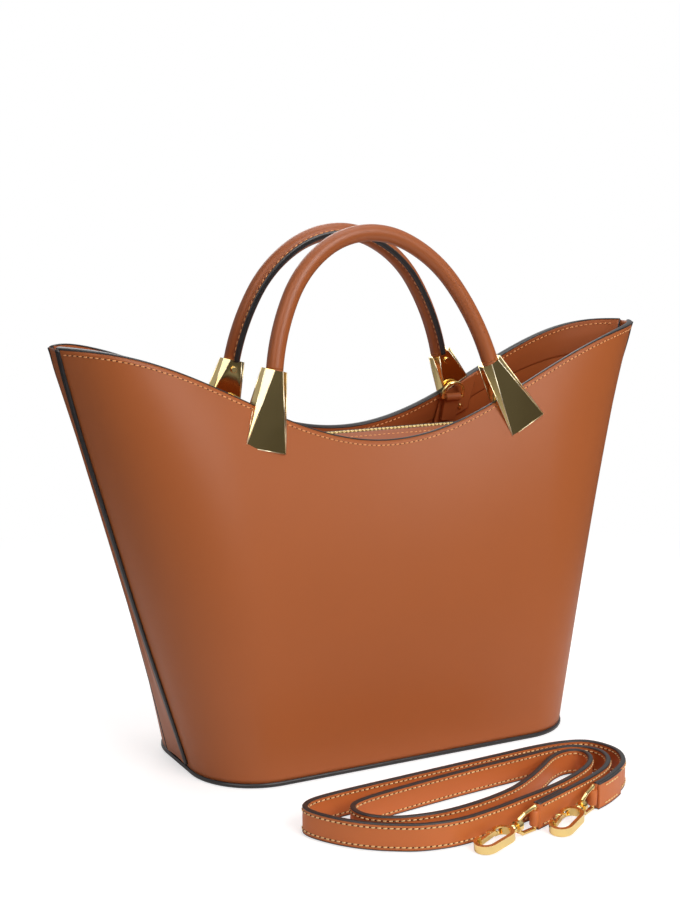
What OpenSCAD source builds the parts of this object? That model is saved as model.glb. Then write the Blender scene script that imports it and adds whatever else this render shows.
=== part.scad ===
// Trapeze bag with winged rim, two top handles, a zip closure and a loose shoulder strap.
// Millimetres. X is the width, front faces -Y, Z is up. Origin is the middle of the base, on the floor.

/* [Bag] */
// Width across the two rim tips
bag_w = 430; // [340:5:500]
// Height of the rim at its middle
rim_low = 209.5; // [180:0.5:240]
// Height of the two rim tips
tip_height = 276; // [240:1:320]
// Front to back depth of the mouth at its middle
mouth_depth = 72; // [64:1:90]
// Length of the base
base_len = 276; // [230:1:330]
// Depth of the base
base_depth = 132; // [110:1:160]
// Corner radius of the base
base_corner = 44; // [30:1:50]
// Half gap between the two panels at the rim tips
tip_gap = 6.5; // [4:0.5:10]
// Half gap between the two panels at the base
foot_gap = 14; // [8:0.5:20]
// How far the end seams pinch in at half height
seam_pinch = 10; // [4:0.5:12]
// Fullness of the ends
end_bulge = 5; // [0:0.5:8]

/* [Leather] */
// Thickness of the panels
panel_t = 2.4; // [1.6:0.1:3.2]
// Thickness of the base
base_t = 3; // [2:0.1:4]
// How far the base edge stands out past the panels
base_proud = 1; // [0.5:0.1:2]
// Thickness of the base board
board_t = 2.5; // [1.5:0.1:4]
// Thickness of the end gussets
gusset_t = 1.5; // [1:0.1:2.5]
// How far the middle of a gusset stands out past the seams
gusset_full = 1; // [0:0.1:3]
// Thickness of facings
facing_t = 1.2; // [0.8:0.1:1.8]
// Thickness of the patches behind the ferrules
patch_t = 1.5; // [1:0.1:2]

/* [Handles] */
// Diameter of the handle
handle_d = 11; // [9:0.2:12]
// Diameter of the cord inside the handle
core_d = 7; // [5:0.2:8]
// Reach of the stitched edge from the middle of the handle
flange_reach = 8.5; // [7.5:0.1:10]
// Thickness of the stitched edge
flange_t = 4; // [2.5:0.1:5]
// Tilt of the handles towards each other
handle_tilt = 7.66; // [2:0.1:12]
// Length of handle held in each ferrule
handle_grip = 13; // [8:0.5:16]

/* [Ferrules] */
// Distance of the ferrules from the middle of the rim
ferrule_x = 89; // [70:1:110]
// Height of the ferrule above the rim
ferrule_up = 26; // [22:0.5:30]
// Length of the outer plate below the rim
ferrule_down = 24; // [18:0.5:30]
// Width of the outer plate at its lower edge
plate_w = 28; // [22:0.5:32]
// Thickness of the plate's lower edge
plate_t = 1; // [0.6:0.1:2]
// Width of the ferrule at its top
ferrule_w = 15; // [14:0.5:17]
// Width of the ferrule where it meets the rim
saddle_w = 21; // [18:0.5:26]
// Splay of the ferrules
ferrule_splay = 21.4; // [10:0.2:28]
// Sideways sway of all four ferrules
ferrule_sway = 7.8; // [0:0.2:10]
// Diameter of the ferrule screw's head
screw_head_d = 4.4; // [3.5:0.1:5]
// Diameter of the ferrule screw's shank
screw_d = 2.4; // [2:0.1:3]

/* [Zip] */
// Length of the zip between its end tabs
zip_len = 284; // [240:2:320]
// Height of the teeth's middle above the base
zip_z = 211; // [205:0.5:220]
// Half width of the opening that the zip flaps close
flap_reach = 26; // [22:0.5:28]
// Slope of the zip flaps
flap_slope = 14; // [10:0.5:18]
// Thickness of the zip flaps' leather
flap_t = 1.4; // [1:0.1:2]
// Thickness of the zip tape
tape_t = 0.6; // [0.4:0.1:1]
// Pitch of the teeth in each row
tooth_pitch = 3; // [2.5:0.1:4]
// Width of one tooth
tooth_w = 1.5; // [1:0.1:1.8]
// Height of the teeth
tooth_h = 2; // [1.6:0.1:2.2]
// Length of each fixed zip end
zip_end_len = 35; // [30:1:40]
// Length of the zip slider
slider_len = 12; // [9:0.5:14]
// Length of the zip pull
pull_len = 16; // [12:1:17]
// Width of the zip pull
pull_w = 5; // [3:0.5:6]

/* [Rings and tabs] */
// Distance of the rings from the middle of the bag
ring_x = 86; // [75:1:95]
// Inner width of the rings
ring_w = 13.4; // [12:0.2:18]
// Wire diameter of the rings
ring_wire = 2.6; // [2:0.1:3.2]
// Width of the leather tabs
tab_w = 12; // [10:0.5:14]
// Thickness of one layer of the tabs
tab_t = 1.5; // [1:0.1:2]
// Length of the tab's stitched part
tab_len = 18; // [14:0.5:24]

/* [Strap] */
// Width of the strap
strap_w = 16.5; // [14:0.5:20]
// Thickness of the strap
strap_t = 3.2; // [2.4:0.1:3.6]
// Length of the end that is folded back
strap_fold = 30; // [18:1:40]
// Thickness of the folded layer
fold_t = 1.6; // [1.2:0.1:2]

/* [Clasps] */
// Wire diameter of the clasp's eye
eye_wire = 2.6; // [2:0.1:3]
// Width of the hook
hook_w = 14.8; // [12:0.2:16]
// Length of the hook's loop
hook_len = 28; // [24:0.5:32]
// Wall of the hook's loop
hook_wall = 2.3; // [1.8:0.1:2.8]
// Height of the hook's loop
hook_h = 5; // [4:0.1:6]
// Slope of the hook from the swivel down to the floor
hook_slope = 8; // [4:0.5:12]
// Diameter of the swivel's stem
stem_d = 2.5; // [2:0.1:3]
// Diameter of the gate's pin
gate_pin_d = 1.2; // [1:0.1:1.6]
// Thickness of the gate
gate_t = 1.6; // [1.2:0.1:2]
// Diameter of the thumb knob
knob_d = 4; // [3:0.2:5]

/* [Clearances] */
// Radial clearance of pins and bars in their holes
pin_gap = 0.05; // [0.02:0.01:0.1]
// Gap between moving faces
slide_gap = 0.3; // [0.2:0.05:0.5]
// Gap where a fixed piece seats on another
seat_gap = 0.05; // [0:0.01:0.1]
// Gap between two layers of leather
lay_gap = 0.1; // [0.05:0.01:0.2]

/* [Hidden] */
$fn = 64;
half_w = bag_w / 2;
half_mouth = mouth_depth / 2;
half_len = base_len / 2;
half_depth = base_depth / 2;
wing = tip_height - rim_low;
rim_power = 12;
side_power = 14;
flare_power = 2.6;

// Rim of the front panel for t from -1 to 1
function rim_z(t) = rim_low + wing * (1 - cos(180 * t)) / 2;
function rim_y(t) = tip_gap + (half_mouth - tip_gap) * (1 - pow(abs(t), rim_power));

// Outline of the base from the end seam to the middle of the front
side_run = half_depth - base_corner - foot_gap;
corner_run = base_corner * PI / 2;
front_run = half_len - base_corner;
outline_run = side_run + corner_run + front_run;
function foot_u(t) = (1 - abs(t)) * outline_run;
function foot_a(t) = (foot_u(t) - side_run) / base_corner * 180 / PI;
function foot_x(t) = foot_u(t) < side_run
    ? half_len
    : foot_u(t) < side_run + corner_run
        ? half_len - base_corner + base_corner * cos(foot_a(t))
        : half_len - base_corner - (foot_u(t) - side_run - corner_run);
function foot_y(t) = foot_u(t) < side_run
    ? foot_gap + foot_u(t)
    : foot_u(t) < side_run + corner_run
        ? half_depth - base_corner + base_corner * sin(foot_a(t))
        : half_depth;
function side(t) = t < 0 ? -1 : 1;

// Outer skin of the front panel for t across and v from base to rim
function seam_line(v) = foot_gap + (tip_gap - foot_gap) * v - 4 * seam_pinch * v * (1 - v);
function seam(v) = max(seam_line(v), 1.5);
function flare(a, b, v) = a + (b - a) * pow(max(v, 0), flare_power);
function skin_x(t, v) = side(t) * (foot_x(t) + (half_w * abs(t) - foot_x(t)) * v);
function skin_y(t, v) = flare(foot_y(t), rim_y(t), v)
    + (seam(v) - flare(foot_gap, tip_gap, v)) * pow(abs(t), side_power)
    + end_bulge * sin(180 * v) * pow(abs(t), 4) * (1 - pow(abs(t), 20));
function skin_z(t, v) = base_t + (rim_z(t) - base_t) * v;
function skin(t, v) = [skin_x(t, v), -skin_y(t, v), skin_z(t, v)];
function unit(a) = a / norm(a);
function skin_n(t, v) = unit(cross(
    skin(t, v + 0.01) - skin(t, v - 0.01),
    skin(t + 0.004, v) - skin(t - 0.004, v)));
function inset(t, v, d) = skin(t, v) + d * skin_n(t, v);
function v_at(t, z) = (z - base_t) / (rim_z(t) - base_t);

// Sheet between an outer and an inner grid of points, columns to the right and rows up
function quad(a, b, c, d) = [[a, b, c], [a, c, d]];
// The same, split along its shorter diagonal
function cell(p, a, b, c, d) = norm(p[a] - p[c]) < norm(p[b] - p[d])
    ? [[a, b, c], [a, c, d]]
    : [[a, b, d], [b, c, d]];
function flat(rows) = [for (r = rows) for (p = r) p];
module sheet(outer, inner) {
    nt = len(outer);
    nv = len(outer[0]);
    n = nt * nv;
    points = concat(flat(outer), flat(inner));
    faces = flat(concat(
        [for (i = [0 : nt - 2], j = [0 : nv - 2])
            cell(points, i * nv + j, i * nv + j + 1, (i + 1) * nv + j + 1, (i + 1) * nv + j)],
        [for (i = [0 : nt - 2], j = [0 : nv - 2])
            cell(points, n + i * nv + j, n + (i + 1) * nv + j, n + (i + 1) * nv + j + 1, n + i * nv + j + 1)],
        [for (i = [0 : nt - 2]) quad(i * nv, (i + 1) * nv, n + (i + 1) * nv, n + i * nv)],
        [for (i = [1 : nt - 1]) quad(i * nv + nv - 1, i * nv - 1, n + i * nv - 1, n + i * nv + nv - 1)],
        [for (j = [0 : nv - 2]) quad(j + 1, j, n + j, n + j + 1)],
        [for (j = [0 : nv - 2])
            quad(n - nv + j, n - nv + j + 1, 2 * n - nv + j + 1, 2 * n - nv + j)]));
    polyhedron(points = points, faces = faces, convexity = 6);
}
module skin_sheet(ts, vs, outside, inside) {
    sheet(
        [for (t = ts) [for (v = vs) inset(t, v, outside)]],
        [for (t = ts) [for (v = vs) inset(t, v, inside)]]);
}

panel_cells = 15;
panel_ts = [for (i = [-panel_cells : panel_cells])
    side(i) * (1 - pow(1 - abs(i) / panel_cells, 1.35))];
facing_row = 0.91;
panel_vs = [0, 0.1, 0.22, 0.36, 0.5, 0.64, 0.78, facing_row, 1];

// Round bar between two points
module bar(a, b, r) {
    d = b - a;
    translate(a)
        rotate([0, acos(d[2] / norm(d)), atan2(d[1], d[0])])
            cylinder(h = norm(d), r = r);
}

// Rim points under the ferrules
ferrule_share = ferrule_x / half_w;
saddle_z = rim_z(ferrule_share);
saddle_y = rim_y(ferrule_share) - panel_t / 2;
stack_t = panel_t + facing_t + patch_t;
function lean(s) = ferrule_splay + s * ferrule_sway;
function foot(s) = [
    s * (ferrule_x - ferrule_up * sin(lean(s))),
    saddle_z + ferrule_up * cos(lean(s))];

// Handle centre line in its own tilted plane, as arcs that turn left from the right foot
handle_y = 33.5 + (half_mouth - 36);
handle_arcs = [[170.72, 19.73], [89.53, 29.33], [59.84, 59.24], [78.12, 28.6], [146.55, 18.57]];
arcs_heading = 106.99;
arcs_span = 159.4;
handle_z = saddle_z + 23;
function in_plane(p) = [p[0], (p[1] - handle_z) / cos(handle_tilt)];
foot_right = in_plane(foot(1));
foot_left = in_plane(foot(-1));
foot_step = foot_left - foot_right;
handle_scale = norm(foot_step) / arcs_span;
handle_turn = atan2(foot_step[1], foot_step[0]) - 180;
function arc_next(p, h, r, a) = p + r * [sin(h + a) - sin(h), cos(h) - cos(h + a)];
function arc_list(p, h, i) = i >= len(handle_arcs)
    ? []
    : let (r = handle_arcs[i][0] * handle_scale, a = handle_arcs[i][1])
        concat([[p, h, r, a]], arc_list(arc_next(p, h, r, a), h + a, i + 1));
arcs = arc_list(foot_right, arcs_heading + handle_turn, 0);
last_arc = arcs[len(arcs) - 1];
end_heading = last_arc[1] + last_arc[3];

module handle_plane() {
    translate([0, -handle_y, handle_z])
        rotate([90 - handle_tilt, 0, 0])
            children();
}
// Stations along the handle: place, heading and whether the stitched edge is there
arc_steps = 7;
edge_start = flange_reach * sin(handle_tilt) + 0.2;
function along(d) = [cos(d), sin(d)];
first_heading = arcs[0][1];
stations = concat(
    [concat(foot_right - handle_grip * along(first_heading), first_heading, 0),
     concat(foot_right + edge_start * along(first_heading), first_heading, 0),
     concat(foot_right + (edge_start + 0.3) * along(first_heading), first_heading, 1)],
    [for (i = [0 : len(arcs) - 1], k = [i == 0 ? 1 : 0 : arc_steps - 1])
        let (s = arcs[i], a = s[3] * k / arc_steps)
            concat(arc_next(s[0], s[1], s[2], a), s[1] + a, 1)],
    [concat(foot_left - (edge_start + 0.3) * along(end_heading), end_heading, 1),
     concat(foot_left - edge_start * along(end_heading), end_heading, 0),
     concat(foot_left + handle_grip * along(end_heading), end_heading, 0)]);
function place(s, p) = [s[0] + p[0] * sin(s[2]), s[1] - p[0] * cos(s[2]), p[1]];
function round_profile(r, n) = [for (k = [0 : n - 1]) r * along(360 * (k + 0.5) / n - 90)];
edge_angle = asin(flange_t / handle_d);
function cover_profile(edge) = concat(
    [for (k = [0 : 13]) handle_d / 2 * along(edge_angle - 90 + (360 - 2 * edge_angle) * k / 13)],
    edge > 0
        ? [[-flange_t / 2, -flange_reach], [flange_t / 2, -flange_reach]]
        : [for (x = [-0.7, 0.7]) [x, -handle_d / 2 + 0.05]]);
module handle_solid(rings) {
    n = len(rings[0]);
    m = len(rings);
    polyhedron(
        points = flat(rings),
        faces = flat(concat(
            [for (i = [0 : m - 2], k = [0 : n - 1])
                quad(i * n + k, (i + 1) * n + k, (i + 1) * n + (k + 1) % n, i * n + (k + 1) % n)],
            [for (k = [1 : n - 2]) [[0, k, k + 1], [m * n - n, m * n - n + k + 1, m * n - n + k]]])),
        convexity = 8);
}
module handle_tube(outer, inner) {
    n = len(outer[0]);
    m = len(outer);
    q = m * n;
    polyhedron(
        points = concat(flat(outer), flat(inner)),
        faces = flat(concat(
            [for (i = [0 : m - 2], k = [0 : n - 1])
                quad(i * n + k, (i + 1) * n + k, (i + 1) * n + (k + 1) % n, i * n + (k + 1) % n)],
            [for (i = [0 : m - 2], k = [0 : n - 1])
                quad(q + i * n + k, q + i * n + (k + 1) % n, q + (i + 1) * n + (k + 1) % n, q + (i + 1) * n + k)],
            [for (k = [0 : n - 1]) quad(k, (k + 1) % n, q + (k + 1) % n, q + k)],
            [for (k = [0 : n - 1])
                quad(q - n + k, 2 * q - n + k, 2 * q - n + (k + 1) % n, q - n + (k + 1) % n)])),
        convexity = 8);
}
module handle_end(s, back, past, r) {
    p = s > 0 ? foot_right : foot_left;
    h = s > 0 ? arcs_heading + handle_turn : end_heading + 180;
    d = [cos(h), sin(h), 0];
    bar([p[0], p[1], 0] - back * d, [p[0], p[1], 0] + past * d, r);
}
// Ferrules
module ferrule_frame(s) {
    translate([s * ferrule_x, -saddle_y, saddle_z])
        rotate([0, -s * lean(s), 0])
            children();
}
plate_v = v_at(ferrule_share, saddle_z - ferrule_down * cos(ferrule_splay));
plate_y = saddle_y - skin_y(ferrule_share, plate_v);
top_y = saddle_y - handle_y + (ferrule_up - 23) * sin(handle_tilt);
inner_y = panel_t / 2 + facing_t + patch_t + 1;
top_front = handle_d / 2 + 1.1;
top_back = handle_d / 2 + 1.5;
head_z = ferrule_up - 6;
head_y = inner_y + (top_y + top_back - inner_y) * head_z / ferrule_up;
head_tilt = atan2(top_y + top_back - inner_y, ferrule_up);

module ferrule_blank() {
    hull() {
        translate([0, top_y, ferrule_up - 0.4])
            linear_extrude(0.4)
                polygon([
                    [-2.8, -top_front], [2.8, -top_front],
                    [ferrule_w / 2, -2.2], [ferrule_w / 2, 3.5],
                    [4.2, top_back], [-4.2, top_back],
                    [-ferrule_w / 2, 3.5], [-ferrule_w / 2, -2.2]]);
        translate([-plate_w / 2, plate_y - plate_t - 0.5, -ferrule_down])
            cube([plate_w, plate_t, 0.4]);
        translate([-saddle_w / 2, 0, 0])
            cube([saddle_w, inner_y, 0.4]);
    }
}
module ferrule(s) {
    difference() {
        ferrule_frame(s) difference() {
            ferrule_blank();
            translate([-plate_w, 0, -2 * ferrule_down])
                cube([2 * plate_w, 30, 2 * ferrule_down]);
            translate([0, head_y, head_z])
                rotate([90 - head_tilt, 0, 0])
                    translate([0, 0, -1]) cylinder(h = top_back, r = screw_d / 2 + pin_gap);
        }
        ferrule_slot(s);
        handle_plane() handle_end(s, handle_grip + seat_gap, 8, handle_d / 2 + seat_gap);
    }
}
module ferrule_slot(s) {
    ts = [for (t = panel_ts) if (abs(t - s * ferrule_share) < 0.2) t];
    skin_sheet(ts, [0.78, facing_row, 1.0005], -lay_gap, stack_t + 3);
}
module ferrule_screw(s) {
    ferrule_frame(s)
        translate([0, head_y, head_z])
            rotate([90 - head_tilt, 0, 0]) translate([0, 0, -0.15]) {
                translate([0, 0, -1.1]) cylinder(h = 1.1, r = screw_head_d / 2);
                cylinder(h = top_back - handle_d / 2 - 0.2, r = screw_d / 2);
            }
}

// Patches and rivets
patch_ts = [for (i = [0 : 4]) ferrule_share - 0.054 + 0.14 * i / 4];
module patch(s) {
    ts = s > 0 ? patch_ts : [for (i = [4 : -1 : 0]) -patch_ts[i]];
    skin_sheet(ts, [0.885, facing_row, 1], panel_t + facing_t + lay_gap, stack_t);
}
module on_patch(t, z) {
    v = v_at(t, z);
    n = skin_n(t, v);
    translate(inset(t, v, stack_t + lay_gap))
        rotate([0, acos(n[2]), atan2(n[1], n[0])])
            children();
}
module rivet(t, z) {
    on_patch(t, z) cylinder(h = 1.3, r = 2);
}

// Rings on the back panel's inner side, drawn on the front and mirrored
ring_r = ring_w / 2 + ring_wire / 2;
ring_bore = ring_wire / 2 + pin_gap;
ring_t = ring_x / half_w;
ring_z = rim_z(ring_t) - 8;
ring_tilt = 16.5;
ring_y = skin_y(ring_t, v_at(ring_t, ring_z)) - stack_t - ring_bore - tab_t - 1.3;
module ring_frame(s) {
    translate([s * ring_x, -ring_y, ring_z])
        rotate([-ring_tilt, 0, 0])
            children();
}
module ring(s) {
    ring_frame(s) {
        bar([-ring_r, 0, 0], [ring_r, 0, 0], ring_wire / 2);
        bar([-ring_r, 0, 0], [-ring_r, 0, 3], ring_wire / 2);
        bar([ring_r, 0, 0], [ring_r, 0, 3], ring_wire / 2);
        for (x = [-ring_r, ring_r]) translate([x, 0, 0]) sphere(r = ring_wire / 2);
        translate([0, 0, 3])
            rotate([90, 0, 0])
                rotate_extrude(angle = 180)
                    translate([ring_r, 0])
                        circle(r = ring_wire / 2);
    }
}
module ring_tab(s) {
    ring_frame(s) difference() {
        union() {
            bar([-tab_w / 2, 0, 0], [tab_w / 2, 0, 0], ring_bore + tab_t);
            translate([-tab_w / 2, -ring_bore - tab_t, -tab_len])
                cube([tab_w, 2 * tab_t, tab_len]);
        }
        bar([-tab_w, 0, 0], [tab_w, 0, 0], ring_bore);
    }
}

// Zip, in the frame of the front flap's hinge line
flap_run = flap_reach / cos(flap_slope);
hinge_z = zip_z - flap_reach * tan(flap_slope) + 0.6;
knuckle_r = flap_t / 2 + 0.05;
leather_end = flap_run - 5.3;
tape_end = flap_run - 2.65;
rail_start = flap_run - 2.6;
tooth_tip = flap_run - 0.8;
module flap_frame() {
    translate([0, -flap_reach, hinge_z])
        rotate([flap_slope, 0, 0])
            children();
}
module flap_leather(x0, x1, y0) {
    translate([x0, y0, -flap_t / 2])
        cube([x1 - x0, leather_end - y0, flap_t]);
}
module flap_tape(x0, x1) {
    translate([x0, leather_end - 8, -flap_t / 2 - tape_t])
        cube([x1 - x0, tape_end - leather_end + 8, tape_t]);
}
module zip_flap() {
    flap_frame() {
        flap_leather(-zip_len / 2, zip_len / 2, 0);
        bar([-zip_len / 2, 0, 0], [zip_len / 2, 0, 0], knuckle_r);
    }
}
tooth_count = floor(zip_len / tooth_pitch);
module zip_teeth(shift) {
    x0 = -tooth_count * tooth_pitch / 2;
    flap_frame()
        translate([0, 0, -flap_t / 2 - tape_t - 0.3])
            linear_extrude(tooth_h)
                polygon(concat(
                    [[x0, rail_start]],
                    flat([for (i = [0 : tooth_count - 1])
                        let (a = x0 + (i + shift) * tooth_pitch + (tooth_pitch / 2 - tooth_w) / 2)
                            [[a, rail_start + 0.9], [a, tooth_tip],
                             [a + tooth_w, tooth_tip], [a + tooth_w, rail_start + 0.9]]]),
                    [[-x0, rail_start]]));
}
module zip_end_half() {
    flap_frame() {
        flap_leather(zip_len / 2 + slide_gap, zip_len / 2 + zip_end_len, -0.75 * (knuckle_r + slide_gap / 2));
        flap_tape(zip_len / 2 + slide_gap, zip_len / 2 + zip_end_len);
    }
}
module zip_end() {
    zip_end_half();
    mirror([0, 1, 0]) zip_end_half();
    translate([zip_len / 2 + zip_end_len - 4, -4.6, zip_z - 1.4])
        cube([3, 9.2, 2.2]);
}
facing_ts = [for (t = panel_ts) if (abs(skin_x(t, v_at(t, zip_z - 8))) < zip_len / 2 + zip_end_len + 2) t];
module zip_facing() {
    low_z = hinge_z - 16;
    bend_z = hinge_z - 6;
    on = panel_t + facing_t + 2.5 * lay_gap;
    sheet(
        [for (t = facing_ts) [
            inset(t, v_at(t, low_z), on),
            inset(t, v_at(t, bend_z), on),
            [skin_x(t, v_at(t, bend_z)), -flap_reach - knuckle_r - slide_gap / 2, hinge_z + facing_t / 2]]],
        [for (t = facing_ts) [
            inset(t, v_at(t, low_z), on + facing_t),
            inset(t, v_at(t, bend_z), on + facing_t) - [0, 0, facing_t],
            [skin_x(t, v_at(t, bend_z)), -flap_reach - knuckle_r - slide_gap / 2, hinge_z - facing_t / 2]]]);
}
slider_w = 8.8;
slider_x = zip_len / 2 + slide_gap + 11 + slider_len / 2;
bail_z = 5.4;
module slider_place() {
    translate([slider_x, 0, zip_z]) children();
}
module slider() {
    slider_place() {
        difference() {
            translate([-slider_len / 2, -slider_w / 2, -3.4])
                cube([slider_len, slider_w, 6.3]);
            translate([-slider_len, -3.2, -2.2])
                cube([2 * slider_len, 6.4, 3.7]);
            translate([-slider_len, -slider_w, -2.3])
                cube([2 * slider_len, 2 * slider_w, 2.4]);
        }
        translate([-slider_len / 2, -0.35, -3])
            cube([4, 0.7, 5.4]);
        for (y = [-1, 1])
            translate([-1.2, y * 3.3 - 0.8, 2.5])
                cube([2.4, 1.6, 4]);
        bar([0, -4.1, bail_z], [0, 4.1, bail_z], 0.8);
    }
}
module pull() {
    slider_place() translate([0, 0, bail_z]) difference() {
        union() {
            rotate([90, 0, 0]) translate([0, 0, -2.2]) cylinder(h = 4.4, r = 1.8);
            translate([-pull_len, -2.2, -0.8]) cube([pull_len, 4.4, 1.6]);
            translate([-pull_len, -pull_w / 2, -0.8]) cube([pull_len - 5, pull_w, 1.6]);
        }
        bar([0, -5, 0], [0, 5, 0], 0.8 + pin_gap);
    }
}

// Strap route on the floor, chosen by hand from the photograph
route = [
    [57, -187], [68, -182.5], [82, -174.5], [96, -163.5], [104, -148], [103, -134],
    [96, -123], [81, -118], [60, -117], [34, -118.5], [-5, -121], [-42, -123.5],
    [-78, -126], [-102, -129], [-112, -134], [-115, -141], [-112, -151], [-104, -164],
    [-94, -175], [-82, -184], [-66, -192], [-44, -195], [-18, -191], [5, -185],
    [28, -179], [50, -171], [69, -161], [80, -151], [84, -141], [81, -134],
    [72, -132.5], [60, -137], [46, -147], [30, -158], [8, -170], [-20, -178],
    [-48, -181], [-72, -177], [-86, -168], [-91, -157], [-88, -148], [-78, -143],
    [-58, -139], [-30, -135], [4, -131], [42, -127.5], [68, -125], [83, -127],
    [91, -134], [94, -144], [90, -156], [79, -167], [62, -176], [42, -184],
    [24, -191], [8, -197]];
route_steps = 3;
function spline(a, b, c, d, t) = 0.5 * (2 * b + (c - a) * t
    + (2 * a - 5 * b + 4 * c - d) * t * t
    + (3 * b - a - 3 * c + d) * t * t * t);
function at(i) = i < 0
    ? 2 * route[0] - route[1]
    : i >= len(route) ? 2 * route[len(route) - 1] - route[len(route) - 2] : route[i];
line = concat(
    [for (i = [0 : len(route) - 2], k = [0 : route_steps - 1])
        spline(at(i - 1), at(i), at(i + 1), at(i + 2), k / route_steps)],
    [route[len(route) - 1]]);
function left_of(a) = [-a[1], a[0]] / norm(a);
function line_n(p, i) = left_of(p[min(i + 1, len(p) - 1)] - p[max(i - 1, 0)]);
function ribbon(p, a, b) = concat(
    [for (i = [0 : len(p) - 1]) p[i] + a * line_n(p, i)],
    [for (i = [len(p) - 1 : -1 : 0]) p[i] + b * line_n(p, i)]);
function run_to(p, i) = i == 0 ? 0 : run_to(p, i - 1) + norm(p[i] - p[i - 1]);
backward = [for (i = [len(line) - 1 : -1 : 0]) line[i]];
fold_a = [for (i = [0 : 24]) if (run_to(line, i) < strap_fold) line[i]];
fold_b = [for (i = [0 : 24]) if (run_to(backward, i) < strap_fold) backward[i]];

// Clasp places: bar in the strap's end, then heading towards the tip
eye_bore = eye_wire / 2 + pin_gap;
eye_low = eye_wire / 2 + 0.2;
eye_high = strap_w - eye_wire / 2 - 0.2;
fold_r = eye_bore + fold_t;
clasp_1 = [route[len(route) - 1] + fold_r * unit([-16, -6]), 194.4];
clasp_2 = [route[0] + fold_r * unit([-11, -4.5]), 207.9];
module clasp_frame(c) {
    translate([c[0][0], c[0][1], 0])
        rotate([0, 0, c[1]])
            children();
}
module strap() {
    notch = 2 * eye_low + 2 * slide_gap;
    difference() {
        union() {
            linear_extrude(strap_w) polygon(ribbon(line, strap_t / 2, -strap_t / 2));
            linear_extrude(strap_w) polygon(ribbon(fold_a, 0.3 - strap_t / 2, -strap_t / 2 - fold_t));
            linear_extrude(strap_w) polygon(ribbon(fold_b, 0.3 - strap_t / 2, -strap_t / 2 - fold_t));
            for (c = [clasp_1, clasp_2])
                translate([c[0][0], c[0][1], 0]) cylinder(h = strap_w, r = fold_r);
        }
        for (c = [clasp_1, clasp_2]) translate([c[0][0], c[0][1], 0]) {
            translate([0, 0, -1]) cylinder(h = strap_w + 2, r = eye_bore);
            translate([0, 0, -1]) cylinder(h = 1 + notch, r = fold_r + 2.4);
            translate([0, 0, strap_w - notch]) cylinder(h = 1 + notch, r = fold_r + 2.4);
        }
    }
}

// Swivel clasp
swivel_x = 14.5;
joint_bead = 0.1;
swivel_z = 7.25;
stem_bore = stem_d / 2 + pin_gap;
module swivel_frame() {
    translate([swivel_x, 0, swivel_z])
        rotate([0, hook_slope, 0])
            children();
}
module eye() {
    r = eye_wire / 2;
    low_a = [0, 0, eye_low];
    low_b = [10, 0, eye_low];
    low_c = [swivel_x, 0, swivel_z - 3.2];
    high_a = [0, 0, eye_high];
    high_b = [9.5, 0, eye_high - 2];
    high_c = [swivel_x, 0, swivel_z + 3.2];
    difference() {
        union() {
            bar(low_a, high_a, r);
            bar(low_a, low_b, r);
            bar(low_b, low_c, r);
            bar(high_a, high_b, r);
            bar(high_b, high_c, r);
            for (p = [low_a, low_b, high_a, high_b]) translate(p) sphere(r = r + joint_bead);
            swivel_frame() translate([-1.5, 0, 0]) rotate([0, 90, 0]) cylinder(h = 3, r = 3.4);
        }
        swivel_frame() translate([-4, 0, 0]) rotate([0, 90, 0]) cylinder(h = 8, r = stem_bore);
    }
}
loop_x = 6;
loop_r = hook_w / 2;
near_c = loop_x + loop_r;
far_c = loop_x + hook_len - loop_r;
pin_x = near_c - 1.9;
pin_y = -loop_r + 1.5;
slot_h = 1.75;
nose_x = far_c - 1;
module slot_shape(r) {
    translate([near_c, 0]) circle(r = r);
    translate([far_c, 0]) circle(r = r);
    translate([near_c, -r]) square([far_c - near_c, 2 * r]);
}
module hook() {
    swivel_frame() {
        rotate([0, 90, 0]) {
            translate([0, 0, -3.2]) cylinder(h = 1.4, r = 2.1);
            translate([0, 0, -2.6]) cylinder(h = 6, r = stem_d / 2);
        }
        difference() {
            union() {
                translate([4.3, 0, 0]) sphere(r = 2.8);
                translate([0, 0, -hook_h / 2]) linear_extrude(hook_h) slot_shape(loop_r);
            }
            translate([0, 0, -hook_h]) linear_extrude(2 * hook_h) slot_shape(loop_r - hook_wall);
            translate([-3, -5, -5]) cube([4.8, 10, 10]);
            translate([pin_x + 2.4, -loop_r - 1, -hook_h]) cube([nose_x - pin_x - 2.4, hook_wall + 1.6, 2 * hook_h]);
            translate([pin_x - 1.9, -loop_r - 1, -slot_h]) cube([6, 5.4, 2 * slot_h]);
            translate([pin_x, pin_y, -hook_h]) cylinder(h = 2 * hook_h, r = gate_pin_d / 2);
        }
    }
}
module gate() {
    tip = [far_c + 0.6, -loop_r + hook_wall + gate_t / 2 + 0.2];
    from = [pin_x, pin_y];
    d = tip - from;
    swivel_frame() difference() {
        union() {
            translate([pin_x, pin_y, -1.6]) cylinder(h = 1.9, r = 1.5);
            translate([pin_x, pin_y, 0])
                rotate([0, 0, atan2(d[1], d[0])]) {
                    translate([0, -gate_t / 2, -1.6]) cube([norm(d), gate_t, 1.9]);
                    translate([1.9, -gate_t / 2, -1.6]) cube([norm(d) - 1.9, gate_t, 3.2]);
                    translate([5.2, 0, 0]) rotate([90, 0, 0]) cylinder(h = 2.9, r = knob_d / 2);
                }
        }
        translate([pin_x, pin_y, -3]) cylinder(h = 6, r = gate_pin_d / 2 + pin_gap);
    }
}
module gate_pin() {
    swivel_frame()
        translate([pin_x, pin_y, -hook_h / 2])
            cylinder(h = hook_h, r = gate_pin_d / 2);
}
module gate_spring() {
    swivel_frame()
        for (z = [0.72, 1.32])
            translate([pin_x, pin_y, z])
                rotate_extrude()
                    translate([gate_pin_d / 2 + 0.3, 0])
                        circle(r = 0.28);
}

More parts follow.
